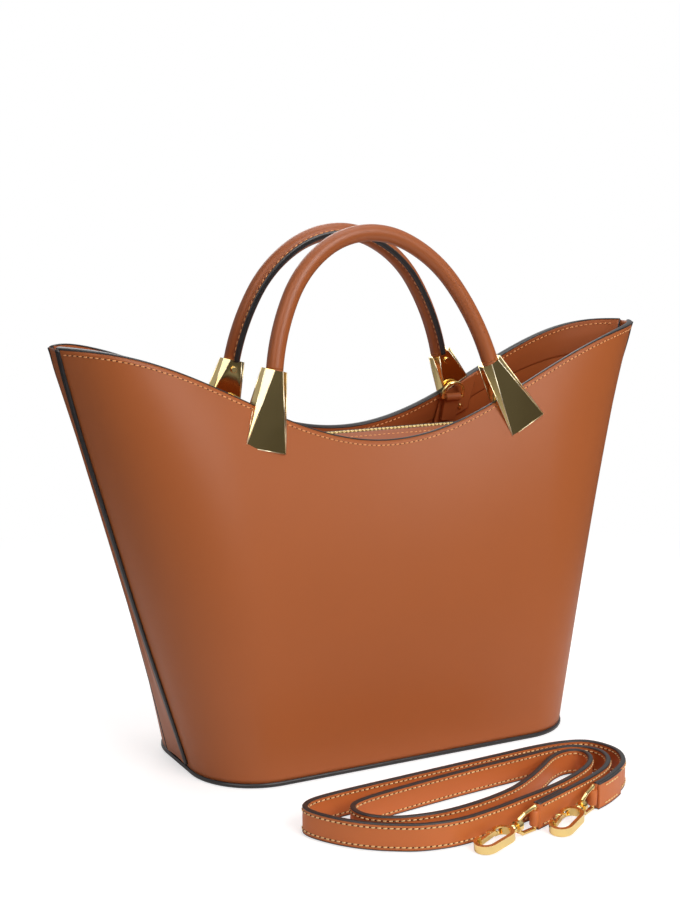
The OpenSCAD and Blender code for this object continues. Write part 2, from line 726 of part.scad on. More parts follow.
leather = [0.62, 0.34, 0.2];
inner_leather = [0.55, 0.3, 0.17];
gold = [0.85, 0.7, 0.38];

// Sub-parts
module base_outline(grow) {
    r = base_corner + grow;
    x = half_len - base_corner;
    y = half_depth - base_corner;
    for (i = [-1, 1], j = [-1, 1]) translate([i * x, j * y]) circle(r = r);
    square([2 * (x + r), 2 * y], center = true);
    square([2 * x, 2 * (y + r)], center = true);
}
module base_panel() {
    color([0.2, 0.18, 0.17]) linear_extrude(base_t) base_outline(base_proud);
}
module base_board() {
    color(inner_leather) translate([0, 0, base_t]) linear_extrude(board_t) base_outline(-panel_t - 3);
}
module front_panel() {
    color(leather) skin_sheet(panel_ts, panel_vs, 0, panel_t);
}
module back_panel() {
    color(leather) mirror([0, 1, 0]) skin_sheet(panel_ts, panel_vs, 0, panel_t);
}
module gusset_right() {
    function near(v) = 1 - 0.004 - 0.012 * pow(1 - v, 2);
    function lap(t, v, d) = inset(t, v, -lay_gap - d);
    function across(v, d) = concat(
        [lap(near(v), v, d), lap(1, v, d)],
        [[skin_x(1, v) + gusset_full + d, 0, skin_z(1, v)]],
        [for (p = [lap(1, v, d), lap(near(v), v, d)]) [p[0], -p[1], p[2]]]);
    rows = concat([0.01], [for (v = panel_vs) if (v > 0 && v < 1) v], [0.985]);
    sheet(
        [for (k = [0 : 4]) [for (v = rows) across(v, gusset_t)[k]]],
        [for (k = [0 : 4]) [for (v = rows) across(v, 0)[k]]]);
}
module right_gusset() {
    color(inner_leather) gusset_right();
}
module left_gusset() {
    color(inner_leather) mirror([1, 0, 0]) gusset_right();
}
module front_rim_facing() {
    color(inner_leather) skin_sheet(panel_ts, [facing_row, 1], panel_t + lay_gap, panel_t + facing_t);
}
module back_rim_facing() {
    color(inner_leather) mirror([0, 1, 0])
        skin_sheet(panel_ts, [facing_row, 1], panel_t + lay_gap, panel_t + facing_t);
}
module front_left_patch() {
    color(inner_leather) patch(-1);
}
module front_right_patch() {
    color(inner_leather) patch(1);
}
module back_left_patch() {
    color(inner_leather) mirror([0, 1, 0]) patch(-1);
}
module back_right_patch() {
    color(inner_leather) mirror([0, 1, 0]) patch(1);
}
module patch_rivets() {
    t = ring_t + 0.056;
    color(gold) for (s = [-1, 1], m = [0, 1]) mirror([0, m, 0]) rivet(s * t, saddle_z - 16);
}
module front_handle_cover() {
    color(leather) handle_cover();
}
module back_handle_cover() {
    color(leather) mirror([0, 1, 0]) handle_cover();
}
module handle_cover() {
    handle_plane() handle_tube(
        [for (s = stations) [for (p = cover_profile(s[3])) place(s, p)]],
        [for (s = stations) [for (p = round_profile(core_d / 2, 16)) place(s, p)]]);
}
module handle_core() {
    handle_plane() handle_solid(
        [for (s = stations) [for (p = round_profile(core_d / 2, 16)) place(s, p)]]);
}
module front_handle_core() {
    color([0.8, 0.75, 0.65]) handle_core();
}
module back_handle_core() {
    color([0.8, 0.75, 0.65]) mirror([0, 1, 0]) handle_core();
}
module front_left_ferrule() {
    color(gold) ferrule(-1);
}
module front_right_ferrule() {
    color(gold) ferrule(1);
}
module back_left_ferrule() {
    color(gold) mirror([0, 1, 0]) ferrule(-1);
}
module back_right_ferrule() {
    color(gold) mirror([0, 1, 0]) ferrule(1);
}
module ferrule_screws() {
    color(gold) for (s = [-1, 1], m = [0, 1]) mirror([0, m, 0]) ferrule_screw(s);
}
module front_zip_facing() {
    color(inner_leather) zip_facing();
}
module back_zip_facing() {
    color(inner_leather) mirror([0, 1, 0]) zip_facing();
}
module front_zip_flap() {
    color(leather) zip_flap();
}
module back_zip_flap() {
    color(leather) mirror([0, 1, 0]) zip_flap();
}
module front_zip_tape() {
    color([0.35, 0.2, 0.12]) flap_frame() flap_tape(-zip_len / 2, zip_len / 2);
}
module back_zip_tape() {
    color([0.35, 0.2, 0.12]) mirror([0, 1, 0]) flap_frame() flap_tape(-zip_len / 2, zip_len / 2);
}
module front_zip_teeth() {
    color(gold) zip_teeth(0);
}
module back_zip_teeth() {
    color(gold) mirror([0, 1, 0]) zip_teeth(0.5);
}
module zip_end_right() {
    color(inner_leather) zip_end();
}
module zip_end_left() {
    color(inner_leather) mirror([1, 0, 0]) zip_end();
}
module zip_slider() {
    color(gold) slider();
}
module zip_pull() {
    color(gold) pull();
}
module left_ring_tab() {
    color(leather) mirror([0, 1, 0]) ring_tab(-1);
}
module right_ring_tab() {
    color(leather) mirror([0, 1, 0]) ring_tab(1);
}
module left_ring() {
    color(gold) mirror([0, 1, 0]) ring(-1);
}
module right_ring() {
    color(gold) mirror([0, 1, 0]) ring(1);
}
module shoulder_strap() {
    color(leather) strap();
}
module eye_one() {
    color(gold) clasp_frame(clasp_1) eye();
}
module hook_one() {
    color(gold) clasp_frame(clasp_1) hook();
}
module gate_one() {
    color(gold) clasp_frame(clasp_1) gate();
}
module gate_pin_one() {
    color([0.6, 0.5, 0.3]) clasp_frame(clasp_1) gate_pin();
}
module gate_spring_one() {
    color([0.7, 0.7, 0.7]) clasp_frame(clasp_1) gate_spring();
}
module eye_two() {
    color(gold) clasp_frame(clasp_2) eye();
}
module hook_two() {
    color(gold) clasp_frame(clasp_2) hook();
}
module gate_two() {
    color(gold) clasp_frame(clasp_2) gate();
}
module gate_pin_two() {
    color([0.6, 0.5, 0.3]) clasp_frame(clasp_2) gate_pin();
}
module gate_spring_two() {
    color([0.7, 0.7, 0.7]) clasp_frame(clasp_2) gate_spring();
}

base_panel();
base_board();
front_panel();
back_panel();
left_gusset();
right_gusset();
front_rim_facing();
back_rim_facing();
front_left_patch();
front_right_patch();
back_left_patch();
back_right_patch();
patch_rivets();
front_handle_cover();
back_handle_cover();
front_handle_core();
back_handle_core();
front_left_ferrule();
front_right_ferrule();
back_left_ferrule();
back_right_ferrule();
ferrule_screws();
front_zip_facing();
back_zip_facing();
front_zip_flap();
back_zip_flap();
front_zip_tape();
back_zip_tape();
front_zip_teeth();
back_zip_teeth();
zip_end_left();
zip_end_right();
zip_slider();
zip_pull();
left_ring_tab();
right_ring_tab();
left_ring();
right_ring();
shoulder_strap();
eye_one();
hook_one();
gate_one();
gate_pin_one();
gate_spring_one();
eye_two();
hook_two();
gate_two();
gate_pin_two();
gate_spring_two();
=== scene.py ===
"""Trapeze bag: the looks of the jointed part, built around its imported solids.

Lengths in the formulas are millimetres. X is the width, the front faces -Y, Z is up. A place on a
panel is (t, v): t runs from -1 at the left seam to 1 at the right one, v from 0 at the base to 1 at
the rim.
"""

import math
from types import SimpleNamespace

import bmesh
import bpy
import numpy as np
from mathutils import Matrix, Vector


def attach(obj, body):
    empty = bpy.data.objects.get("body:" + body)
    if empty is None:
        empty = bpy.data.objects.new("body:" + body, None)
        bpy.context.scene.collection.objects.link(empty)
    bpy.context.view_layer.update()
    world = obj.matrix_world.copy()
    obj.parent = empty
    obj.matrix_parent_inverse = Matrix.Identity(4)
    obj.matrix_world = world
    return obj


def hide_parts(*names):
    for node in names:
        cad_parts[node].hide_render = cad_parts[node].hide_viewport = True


bl_info = {
    "name": "Trapeze bag looks",
    "version": (1, 0, 0),
    "blender": (4, 5, 0),
    "location": "View3D > Sidebar > Trapeze bag",
    "description": "Leather, edge paint, thread and metal of a trapeze bag with a loose strap",
    "category": "Object",
}

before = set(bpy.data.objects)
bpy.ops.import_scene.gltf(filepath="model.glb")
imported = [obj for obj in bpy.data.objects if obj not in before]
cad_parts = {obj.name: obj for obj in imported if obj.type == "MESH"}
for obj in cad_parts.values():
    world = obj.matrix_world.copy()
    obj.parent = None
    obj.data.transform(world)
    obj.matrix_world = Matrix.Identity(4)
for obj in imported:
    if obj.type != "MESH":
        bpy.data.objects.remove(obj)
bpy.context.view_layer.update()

MM = 0.001
FRONT, BACK = -1, 1
SIDES = ((FRONT, "front"), (BACK, "back"))
ENDS = ((-1, "left"), (1, "right"))
ACROSS = np.array([1.0, 0.0, 0.0])
UPWARD = np.array([0.0, 0.0, 1.0])

# Powers of the panels' surface: how late the rim closes, the seams close and the depth narrows
RIM_POWER, SIDE_POWER, FLARE_POWER = 12, 14, 2.6
SEAM_LEAST = 1.5

# Places on a panel: the facing's lower edge, a patch's lower edge and ends, the rim stitches' end
FACING_V, PATCH_V, PATCH_T = 0.91, 0.885, (0.36, 0.5)
ROW_T, ROW_DOWN = 0.992, 3.6

# A stitch hole's painted shade, a dark lens: its length and width, and how far it is sunk
HOLE_LONG, HOLE_WIDE, HOLE_SUNK = 2.2, 1.1, 0.4

# Bars on the ferrules' edges, paler than the gold as a painted highlight: their radius, the
# shortest edge that has one and its least angle
ARRIS_RADIUS, ARRIS_LEAST, ARRIS_ANGLE = 0.3, 16.0, 30.0

# The handles' arcs (radius, degrees) from the right foot to the left one, before they are scaled
HANDLE_ARCS = ((170.72, 19.73), (89.53, 29.33), (59.84, 59.24), (78.12, 28.6), (146.55, 18.57))
HANDLE_HEADING, HANDLE_SPAN = 106.99, 159.4
HANDLE_TILT, HANDLE_GRIP, HANDLE_UP = 7.66, 13.0, 23.0
FERRULE_X, FERRULE_UP, FERRULE_SPLAY, FERRULE_SWAY = 89.0, 26.0, 21.4, 7.8

# The zip: half its length, its height, the flaps' reach and slope, and the leather short of the tip
ZIP_HALF, ZIP_Z, FLAP_REACH, FLAP_SLOPE, FLAP_SHORT = 142.0, 211.0, 26.0, 14.0, 5.3
FLAP_HALF_T, FLAP_ROW_IN = 0.7, 13.0
TOOTH_PITCH, TOOTH_COUNT = 3.0, 94

# The strap's beads and rows of stitches stand this far in from its edges
BEAD_IN, ROW_IN = 0.55, 2.6
FOLD_LENGTH, FOLD_BORE, BAR_RADIUS = 30.0, 1.35, 1.3

# The strap's route on the floor, from clasp two to clasp one, as its middle line is seen from above
ROUTE = (
    (57, -187), (68, -182.5), (82, -174.5), (96, -163.5), (104, -148), (103, -134),
    (96, -123), (81, -118), (60, -117), (34, -118.5), (-5, -121), (-42, -123.5),
    (-78, -126), (-102, -129), (-112, -134), (-115, -141), (-112, -151), (-104, -164),
    (-94, -175), (-82, -184), (-66, -192), (-44, -195), (-18, -191), (5, -185),
    (28, -179), (50, -171), (69, -161), (80, -151), (84, -141), (81, -134),
    (72, -132.5), (60, -137), (46, -147), (30, -158), (8, -170), (-20, -178),
    (-48, -181), (-72, -177), (-86, -168), (-91, -157), (-88, -148), (-78, -143),
    (-58, -139), (-30, -135), (4, -131), (42, -127.5), (68, -125), (83, -127),
    (91, -134), (94, -144), (90, -156), (79, -167), (62, -176), (42, -184),
    (24, -191), (8, -197),
)  # fmt: skip

# The photograph's viewpoint in metres, and its lens for a 36 mm sensor along the tall side
VIEW_PLACE, VIEW_WAY, VIEW_LENS = (-0.4996, -0.9186, 0.3720), (0.4567, 0.8739, -0.1665), 62.66

# Softboxes in metres and watts: name, place, aim, width, height, power, colour
LAMPS = (
    ("key softbox", (0.2, -1.25, 0.95), (0.03, 0.0, 0.14), 0.9, 0.9, 14.2, (1.0, 0.985, 0.96)),
    ("top softbox", (0.1, 0.1, 1.9), (0.0, 0.0, 0.1), 1.4, 1.0, 9, (1.0, 1.0, 1.0)),
    ("back softbox", (0.4, 2.3, 1.7), (0.0, 0.0, 0.12), 1.6, 1.2, 16, (1.0, 1.0, 1.0)),
    ("rim softbox", (-1.7, 0.7, 0.9), (0.0, 0.0, 0.15), 0.6, 1.0, 1.2, (1.0, 1.0, 1.0)),
)
CARD_WAY = (-0.683, -0.487, 0.54)


# ---- properties


def length(name, default, text):
    """A length property: its default is given in millimetres and kept in metres."""
    return bpy.props.FloatProperty(
        name=name,
        description=text,
        default=default * MM,
        min=0.0,
        precision=4,
        subtype="DISTANCE",
        unit="LENGTH",
    )


def colour(name, default, text):
    """A colour property with alpha."""
    return bpy.props.FloatVectorProperty(
        name=name, description=text, default=default, min=0.0, max=1.0, size=4, subtype="COLOR"
    )


class BagSizes(bpy.types.PropertyGroup):
    """Sizes of the leather, thread and edge paint."""

    half_width: length("Half width", 215.0, "Half the distance between the two rim tips")
    rim_low: length("Low rim", 209.5, "Height of the rim at its middle")
    tip_height: length("Tip height", 276.0, "Height of the rim tips")
    half_mouth: length("Half mouth", 36.0, "Half the depth of the mouth")
    half_length: length("Half base length", 138.0, "Half the length of the base")
    half_depth: length("Half base depth", 66.0, "Half the depth of the base")
    corner: length("Base corner", 44.0, "Corner radius of the base")
    tip_gap: length("Tip gap", 6.5, "Half gap between the panels at the tips")
    foot_gap: length("Foot gap", 14.0, "Half gap between the panels at the base")
    layer: length("Layer gap", 0.1, "Gap between two layers of leather")
    gusset: length("Gusset", 1.5, "Thickness of the end gussets")
    gusset_full: length("Gusset fullness", 1.0, "How far a gusset's middle stands out")
    seam_pinch: length("Seam pinch", 10.0, "How far the end seams pinch in")
    end_bulge: length("End bulge", 5.0, "Fullness of the ends")
    panel: length("Panel", 2.4, "Thickness of the panels")
    facing: length("Facing", 1.2, "Thickness of the rim facing")
    patch: length("Patch", 1.5, "Thickness of the patches")
    base: length("Base", 3.0, "Thickness of the base")
    base_proud: length("Base edge", 1.0, "How far the base edge stands out")
    handle: length("Handle", 11.0, "Diameter of the handles")
    flange: length("Handle edge", 8.5, "Reach of the stitched edge from the handle's middle")
    flange_t: length("Handle edge thickness", 4.0, "Thickness of the stitched edge")
    handle_y: length("Handle place", 33.5, "Distance of the handles from the middle plane")
    strap: length("Strap width", 16.5, "Width of the strap")
    strap_t: length("Strap thickness", 3.2, "Thickness of the strap")
    fold_t: length("Strap fold", 1.6, "Thickness of the strap's folded layer")
    stitch: length("Stitch pitch", 3.5, "Pitch of the stitches on the bag and strap")
    handle_stitch: length("Handle stitch pitch", 4.0, "Pitch of the stitches on the handles")
    thread: length("Thread", 0.85, "Thickness of the thread")


class BagColours(bpy.types.PropertyGroup):
    """Colours of the finishes."""

    leather: colour("Leather", (0.430, 0.114, 0.029, 1), "Smooth tan leather")
    inside: colour("Inside leather", (0.400, 0.105, 0.028, 1), "Leather facings, patches and flaps")
    paint: colour("Edge paint", (0.021, 0.019, 0.020, 1), "Painted leather edges")
    thread: colour("Thread", (0.95, 0.40, 0.14, 1), "Sewing thread of the bag")
    # Lighter than the bag's thread: painted light on the strap's stitches, which lie in brighter
    # light
    strap_thread: colour("Strap thread", (0.98, 0.60, 0.26, 1), "Sewing thread of the strap")
    gold: colour("Gold", (0.95, 0.71, 0.30, 1), "Polished gold-coloured metal")
    # The ferrules' edges in a paler gold: a painted highlight
    arris: colour("Polished edges", (0.98, 0.86, 0.62, 1), "Edges of the ferrules")
    teeth: colour("Zip teeth", (0.83, 0.62, 0.28, 1), "Zip teeth and slider")
    steel: colour("Steel", (0.6, 0.6, 0.6, 1), "Springs of the clasps")
    tape: colour("Zip tape", (0.12, 0.045, 0.02, 1), "Woven zip tape")
    cord: colour("Cord", (0.6, 0.52, 0.4, 1), "Cotton cord inside the handles")
    board: colour("Stiffener", (0.16, 0.12, 0.08, 1), "Board inside on the base")
    floor: colour("Floor", (0.9, 0.9, 0.9, 1), "Floor and backdrop")


def sizes_in_mm(context):
    """The scene's sizes as plain numbers in millimetres, free of what single precision adds."""
    group = context.scene.bag_sizes
    return SimpleNamespace(
        **{name: round(getattr(group, name) / MM, 4) for name in BagSizes.__annotations__}
    )


# ---- surfaces


def unit(a):
    """Each vector divided by its length."""
    return a / np.maximum(np.linalg.norm(a, axis=-1, keepdims=True), 1e-9)


def square_to(way, other):
    """What is left of a way, as a unit vector, once its share along a unit vector is taken off."""
    return unit(way - (way * other).sum(-1, keepdims=True) * other)


def rim_height(t, s):
    """Low rim plus the wing's height times (1 - cos(pi t)) / 2."""
    return s.rim_low + (s.tip_height - s.rim_low) * (1 - np.cos(np.pi * t)) / 2


def foot_outline(t, s):
    """Walk the base's outline by arc length: end, then corner arc, then straight front."""
    end_run = s.half_depth - s.corner - s.foot_gap
    arc_run = s.corner * np.pi / 2
    flat_x, flat_y = s.half_length - s.corner, s.half_depth - s.corner
    u = (1 - np.abs(t)) * (end_run + arc_run + flat_x)
    a = (u - end_run) / s.corner
    on_end, on_arc = u < end_run, u < end_run + arc_run
    x = np.where(on_arc, flat_x + s.corner * np.cos(a), flat_x - (u - end_run - arc_run))
    y = np.where(on_arc, flat_y + s.corner * np.sin(a), s.half_depth)
    return np.where(on_end, s.half_length, x), np.where(on_end, s.foot_gap + u, y)


def skin(t, v, side, s):
    """Ruled from the base's outline to the winged rim, with depth following v to the flare's power,
    the seams drawn towards the middle plane by a power of t, and full ends."""
    t, v = np.broadcast_arrays(np.asarray(t, float), np.asarray(v, float))
    a = np.abs(t)
    fx, fy = foot_outline(t, s)
    rim_y = s.tip_gap + (s.half_mouth - s.tip_gap) * (1 - a**RIM_POWER)
    p = np.maximum(v, 0) ** FLARE_POWER
    narrowing = s.tip_gap - s.foot_gap
    seam = s.foot_gap + narrowing * v - 4 * s.seam_pinch * v * (1 - v)
    seam = np.maximum(seam, SEAM_LEAST)
    y = fy + (rim_y - fy) * p + (seam - s.foot_gap - narrowing * p) * a**SIDE_POWER
    y = y + s.end_bulge * np.sin(np.pi * v) * a**4 * (1 - a**20)
    x = np.sign(t) * (fx + (s.half_width * a - fx) * v)
    z = s.base + (rim_height(t, s) - s.base) * v
    return np.stack([x, side * y, z], -1)


def inward(t, v, side, s):
    """Unit normal into the bag, from the skin's two slopes."""
    across = skin(t + 0.003, v, side, s) - skin(t - 0.003, v, side, s)
    up = skin(t, v + 0.006, side, s) - skin(t, v - 0.006, side, s)
    return unit(np.cross(up, across)) * -side


def inset(t, v, d, side, s):
    """The skin moved inwards by d."""
    return skin(t, v, side, s) + np.asarray(d)[..., None] * inward(t, v, side, s)


def spread(n, power=1.35):
    """n + 1 values from -1 to 1, closer together near the ends."""
    k = np.linspace(-1, 1, n + 1)
    return np.sign(k) * (1 - (1 - np.abs(k)) ** power)


def smooth_line(points, steps):
    """Catmull-Rom curve through the points: each span is a cubic of its four nearest points."""
    p = np.asarray(points, float)
    q = np.concatenate([[2 * p[0] - p[1]], p, [2 * p[-1] - p[-2]]])
    a, b, c, d = (m[:, None, :] for m in (q[:-3], q[1:-2], q[2:-1], q[3:]))
    t = (np.arange(steps) / steps)[None, :, None]
    squared = (2 * a - 5 * b + 4 * c - d) * t**2
    cubed = (3 * b - a - 3 * c + d) * t**3
    out = 0.5 * (2 * b + (c - a) * t + squared + cubed)
    return np.concatenate([out.reshape(-1, p.shape[1]), p[-1:]])


def circle(n):
    """n points of a circle of radius 1."""
    a = np.arange(n) / n * 2 * np.pi
    return np.stack([np.cos(a), np.sin(a)], -1)


def lifted(line, z):
    """A flat line's points at a height."""
    return np.column_stack([line, np.full(len(line), z)])


def run_lengths(line):
    """Distance along a line of points."""
    return np.concatenate([[0], np.cumsum(np.linalg.norm(np.diff(line, axis=0), axis=1))])


def resample(values, run, at):
    """Rows of values that belong to distances along a line, read at other distances."""
    return np.stack([np.interp(at, run, column) for column in values.T], 1)


# ---- meshes


def placed(name, data):
    """An object at the origin that shows a mesh, a lamp or a camera."""
    made = bpy.data.objects.new(name, data)
    bpy.context.scene.collection.objects.link(made)
    return made


def put_mesh(name, points, *faces):
    """A smooth object from points in millimetres and arrays of quads or of triangles."""
    mesh = bpy.data.meshes.new(name)
    points = np.asarray(points, float).reshape(-1, 3) * MM
    corners = np.concatenate([f.ravel() for f in faces]).astype(np.int32)
    sizes = np.concatenate([np.full(len(f), f.shape[1]) for f in faces])
    mesh.vertices.add(len(points))
    mesh.vertices.foreach_set("co", points.ravel())
    mesh.loops.add(len(corners))
    mesh.loops.foreach_set("vertex_index", corners)
    mesh.polygons.add(len(sizes))
    mesh.polygons.foreach_set("loop_start", (np.cumsum(sizes) - sizes).astype(np.int32))
    mesh.polygons.foreach_set("use_smooth", np.full(len(sizes), True))
    mesh.update(calc_edges=True)
    mesh.validate()
    return placed(name, mesh)


def face_out(made):
    """Turns every face of a closed mesh outwards."""
    b = bmesh.new()
    b.from_mesh(made.data)
    bmesh.ops.recalc_face_normals(b, faces=b.faces)
    b.to_mesh(made.data)
    b.free()
    return made


def grid_faces(nu, nv, wrap_u=False, wrap_v=False, start=0):
    """Quads between neighbouring points of a grid stored row by row."""
    i = np.arange(nu if wrap_u else nu - 1)
    j = np.arange(nv if wrap_v else nv - 1)
    i, j = np.meshgrid(i, j, indexing="ij")
    i2, j2 = (i + 1) % nu, (j + 1) % nv
    corners = [i * nv + j, i2 * nv + j, i2 * nv + j2, i * nv + j2]
    return start + np.stack(corners, -1).reshape(-1, 4)


def bar_faces(rings, around):
    """Faces of a bar of rings, each with an even count of corners, and of its two flat ends."""
    k = np.arange(1, around - 2, 2)
    cap = np.stack([0 * k, k, k + 1, k + 2], -1)
    sides = grid_faces(rings, around, wrap_v=True)[:, ::-1]
    return np.concatenate([sides, cap, cap[:, ::-1] + (rings - 1) * around])


def repeated(faces, count):
    """The faces of one solid, once for each of count copies whose points follow each other."""
    return (np.arange(count)[:, None, None] * (faces.max() + 1) + faces).reshape(-1, 4)


def shell_mesh(name, outer, inner):
    """A closed sheet: an outer grid, an inner grid turned over, and four borders between them."""
    nu, nv = outer.shape[:2]
    n = nu * nv
    index = np.arange(n).reshape(nu, nv)
    border = np.concatenate([index[:, 0], index[-1, 1:], index[-2::-1, -1], index[0, -2:0:-1]])
    after = np.roll(border, -1)
    sides = np.stack([after, border, border + n, after + n], -1)
    points = np.concatenate([outer.reshape(-1, 3), inner.reshape(-1, 3)])
    low = grid_faces(nu, nv, start=n)[:, ::-1]
    return face_out(put_mesh(name, points, grid_faces(nu, nv), low, sides))


def carried_mesh(name, rings, closed=False):
    """Rings of points, each joined to the next, with fans over the two end rings."""
    m, n = rings.shape[:2]
    faces = grid_faces(m, n, wrap_u=closed, wrap_v=True)
    points = rings.reshape(-1, 3)
    if closed:
        return face_out(put_mesh(name, points, faces))
    k = np.arange(n)
    k2 = (k + 1) % n
    last = (m - 1) * n
    first_fan = np.stack([0 * k + m * n, k2, k], -1)
    last_fan = np.stack([0 * k + m * n + 1, k + last, k2 + last], -1)
    points = np.concatenate([points, [rings[0].mean(0), rings[-1].mean(0)]])
    return face_out(put_mesh(name, points, faces, first_fan, last_fan))


def carry(line, side_way, up_way, profile):
    """Rings of a flat profile carried along a line: point + a * side + b * up."""
    return line[:, None] + profile @ np.stack([side_way, up_way], 1)


def bead_profile(width, height, sunk, n=10):
    """A half ellipse of the given width and height on a foot that is sunk in what it sits on."""
    a = np.linspace(0, np.pi, n)
    dome = np.stack([width / 2 * np.cos(a), height * np.sin(a)], -1)
    return np.concatenate([dome, [[-width / 2, -sunk], [width / 2, -sunk]]])


def thread_mesh(name, places, along, out, long, thick):
    """One stitch per place: a lens, round across, whose height falls to nothing at both ends.

    It is turned a little across the row, as a saddle stitch lies."""
    around, rings, tilt = 6, 6, 0.12
    u = np.linspace(-1, 1, rings)
    w = np.sqrt(np.maximum(1 - np.abs(u) ** 2.6, 0.02))[:, None]
    x = np.repeat(u[:, None], around, 1) * long / 2
    y = w * circle(around)[:, 0] * thick / 2
    z = w * circle(around)[:, 1] * thick / 2 + (w - 1) * thick * 0.45
    local = np.stack([x, y, z], -1).reshape(-1, 3)
    turned = unit(along + tilt * np.cross(out, along))
    points = places[:, None] + local @ np.stack([turned, np.cross(out, turned), out], 1)
    return put_mesh(name, points, repeated(bar_faces(rings, around), len(places)))


def sewn_line(line, out, pitch, lead=0.0):
    """Places, directions and outward ways of stitches at an even pitch along a line."""
    run = run_lengths(line)
    total = run[-1]
    count = max(int((total - 2 * lead) / pitch), 1)
    at = lead + (total - 2 * lead - count * pitch) / 2 + (np.arange(count) + 0.5) * pitch
    before = resample(line, run, np.maximum(at - 0.5, 0))
    along = unit(resample(line, run, np.minimum(at + 0.5, total)) - before)
    return resample(line, run, at), along, square_to(unit(resample(out, run, at)), along)


def welded(node):
    """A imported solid's faces with their shared corners merged."""
    b = bmesh.new()
    b.from_mesh(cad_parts[node].data)
    bmesh.ops.remove_doubles(b, verts=b.verts, dist=2e-6)
    return b


def turn_at(e):
    """Degrees between the two faces of an edge, or no number where it hasn't two."""
    return math.degrees(e.calc_face_angle(0)) if len(e.link_faces) == 2 else math.nan


def solid_copy(node, name, bevel=0.0, angle=30.0, segments=2):
    """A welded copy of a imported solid, with its edges rounded by a Bevel modifier."""
    b = welded(node)
    flat = [e for e in b.edges if turn_at(e) < 0.6]
    bmesh.ops.dissolve_limit(b, angle_limit=math.radians(0.5), verts=b.verts, edges=flat)
    for f in b.faces:
        f.smooth = True
    for e in b.edges:
        e.smooth = turn_at(e) < angle
    mesh = bpy.data.meshes.new(name)
    b.to_mesh(mesh)
    b.free()
    made = placed(name, mesh)
    if bevel:
        m = made.modifiers.new("rounded edges", "BEVEL")
        m.width = bevel * MM
        m.segments = segments
        m.limit_method = "ANGLE"
        m.angle_limit = math.radians(angle)
        m.harden_normals = False
        m.use_clamp_overlap = True
    return made


def edge_lines(node, name):
    """Thin round bars along a solid's long sharp edges, which catch the light as polished edges do;
    their paler gold is a painted highlight.

    Each bar is a ring of points, middle + radius * (cos(a) * side + sin(a) * up), at both ends."""
    b = welded(node)
    long = [e for e in b.edges if e.calc_length() > ARRIS_LEAST * MM]
    sharp = [e for e in long if turn_at(e) > ARRIS_ANGLE]
    ends = np.array([[v.co[:] for v in e.verts] for e in sharp]) / MM
    b.free()
    way = unit(ends[:, 1] - ends[:, 0])
    side = unit(np.cross(way, [0.3, 0.5, 0.81]))
    ring = ARRIS_RADIUS * circle(8) @ np.stack([side, np.cross(way, side)], 1)
    points = ends[:, :, None] + ring[:, None]
    return face_out(put_mesh(name, points, repeated(bar_faces(2, 8), len(ends))))


# ---- pieces


def dress(made, finish, body, node=None):
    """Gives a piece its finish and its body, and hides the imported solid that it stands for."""
    made.data.materials.clear()
    made.data.materials.append(MATERIALS[finish])
    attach(made, body)
    if node:
        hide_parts(node)
    return made


def copy_piece(node, name, finish, body, bevel=0.0, angle=30.0, segments=2):
    """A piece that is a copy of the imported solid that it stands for."""
    return dress(solid_copy(node, name, bevel, angle, segments), finish, body, node)


def paint_edge(name, line, across, away, profile, body="bag"):
    """Edge paint: a bead's profile carried along a leather edge, across it and away from it."""
    made = carried_mesh(f"{name}_paint", carry(line, across, away, profile))
    return dress(made, "paint", body)


def sew(
    name,
    line,
    out,
    pitch,
    thick,
    body="bag",
    finish="thread",
    lead=0.0,
    share=0.78,
    lift=0.08,
    holes=True,
):
    """A row of stitches on a line, each a share of the pitch long and lifted a little over it, and
    where hole shades are wanted a small dark lens at each stitch's end, the hole's painted shade."""
    place, along, way = sewn_line(line, out, pitch, lead)
    row = thread_mesh(f"{name}_stitches", place + lift * way, along, way, pitch * share, thick)
    dress(row, finish, body)
    if holes:
        # A dark lens at each stitch's end: painted shade in the stitch hole
        spots = place + along * pitch / 2 - way * HOLE_SUNK
        row = thread_mesh(f"{name}_holes", spots, along, way, HOLE_LONG, HOLE_WIDE)
        dress(row, "hole", body)


# ---- materials


class Link:
    """A socket whose operators add Math nodes."""

    def __init__(self, graph, socket):
        self.graph, self.socket = graph, socket

    def _math(self, operation, a, b):
        return self.graph.node("Math", {0: a, 1: b}, operation=operation)

    def __add__(self, o):
        return self._math("ADD", self, o)

    def __radd__(self, o):
        return self._math("ADD", o, self)

    def __sub__(self, o):
        return self._math("SUBTRACT", self, o)

    def __mul__(self, o):
        return self._math("MULTIPLY", self, o)

    def __rmul__(self, o):
        return self._math("MULTIPLY", o, self)


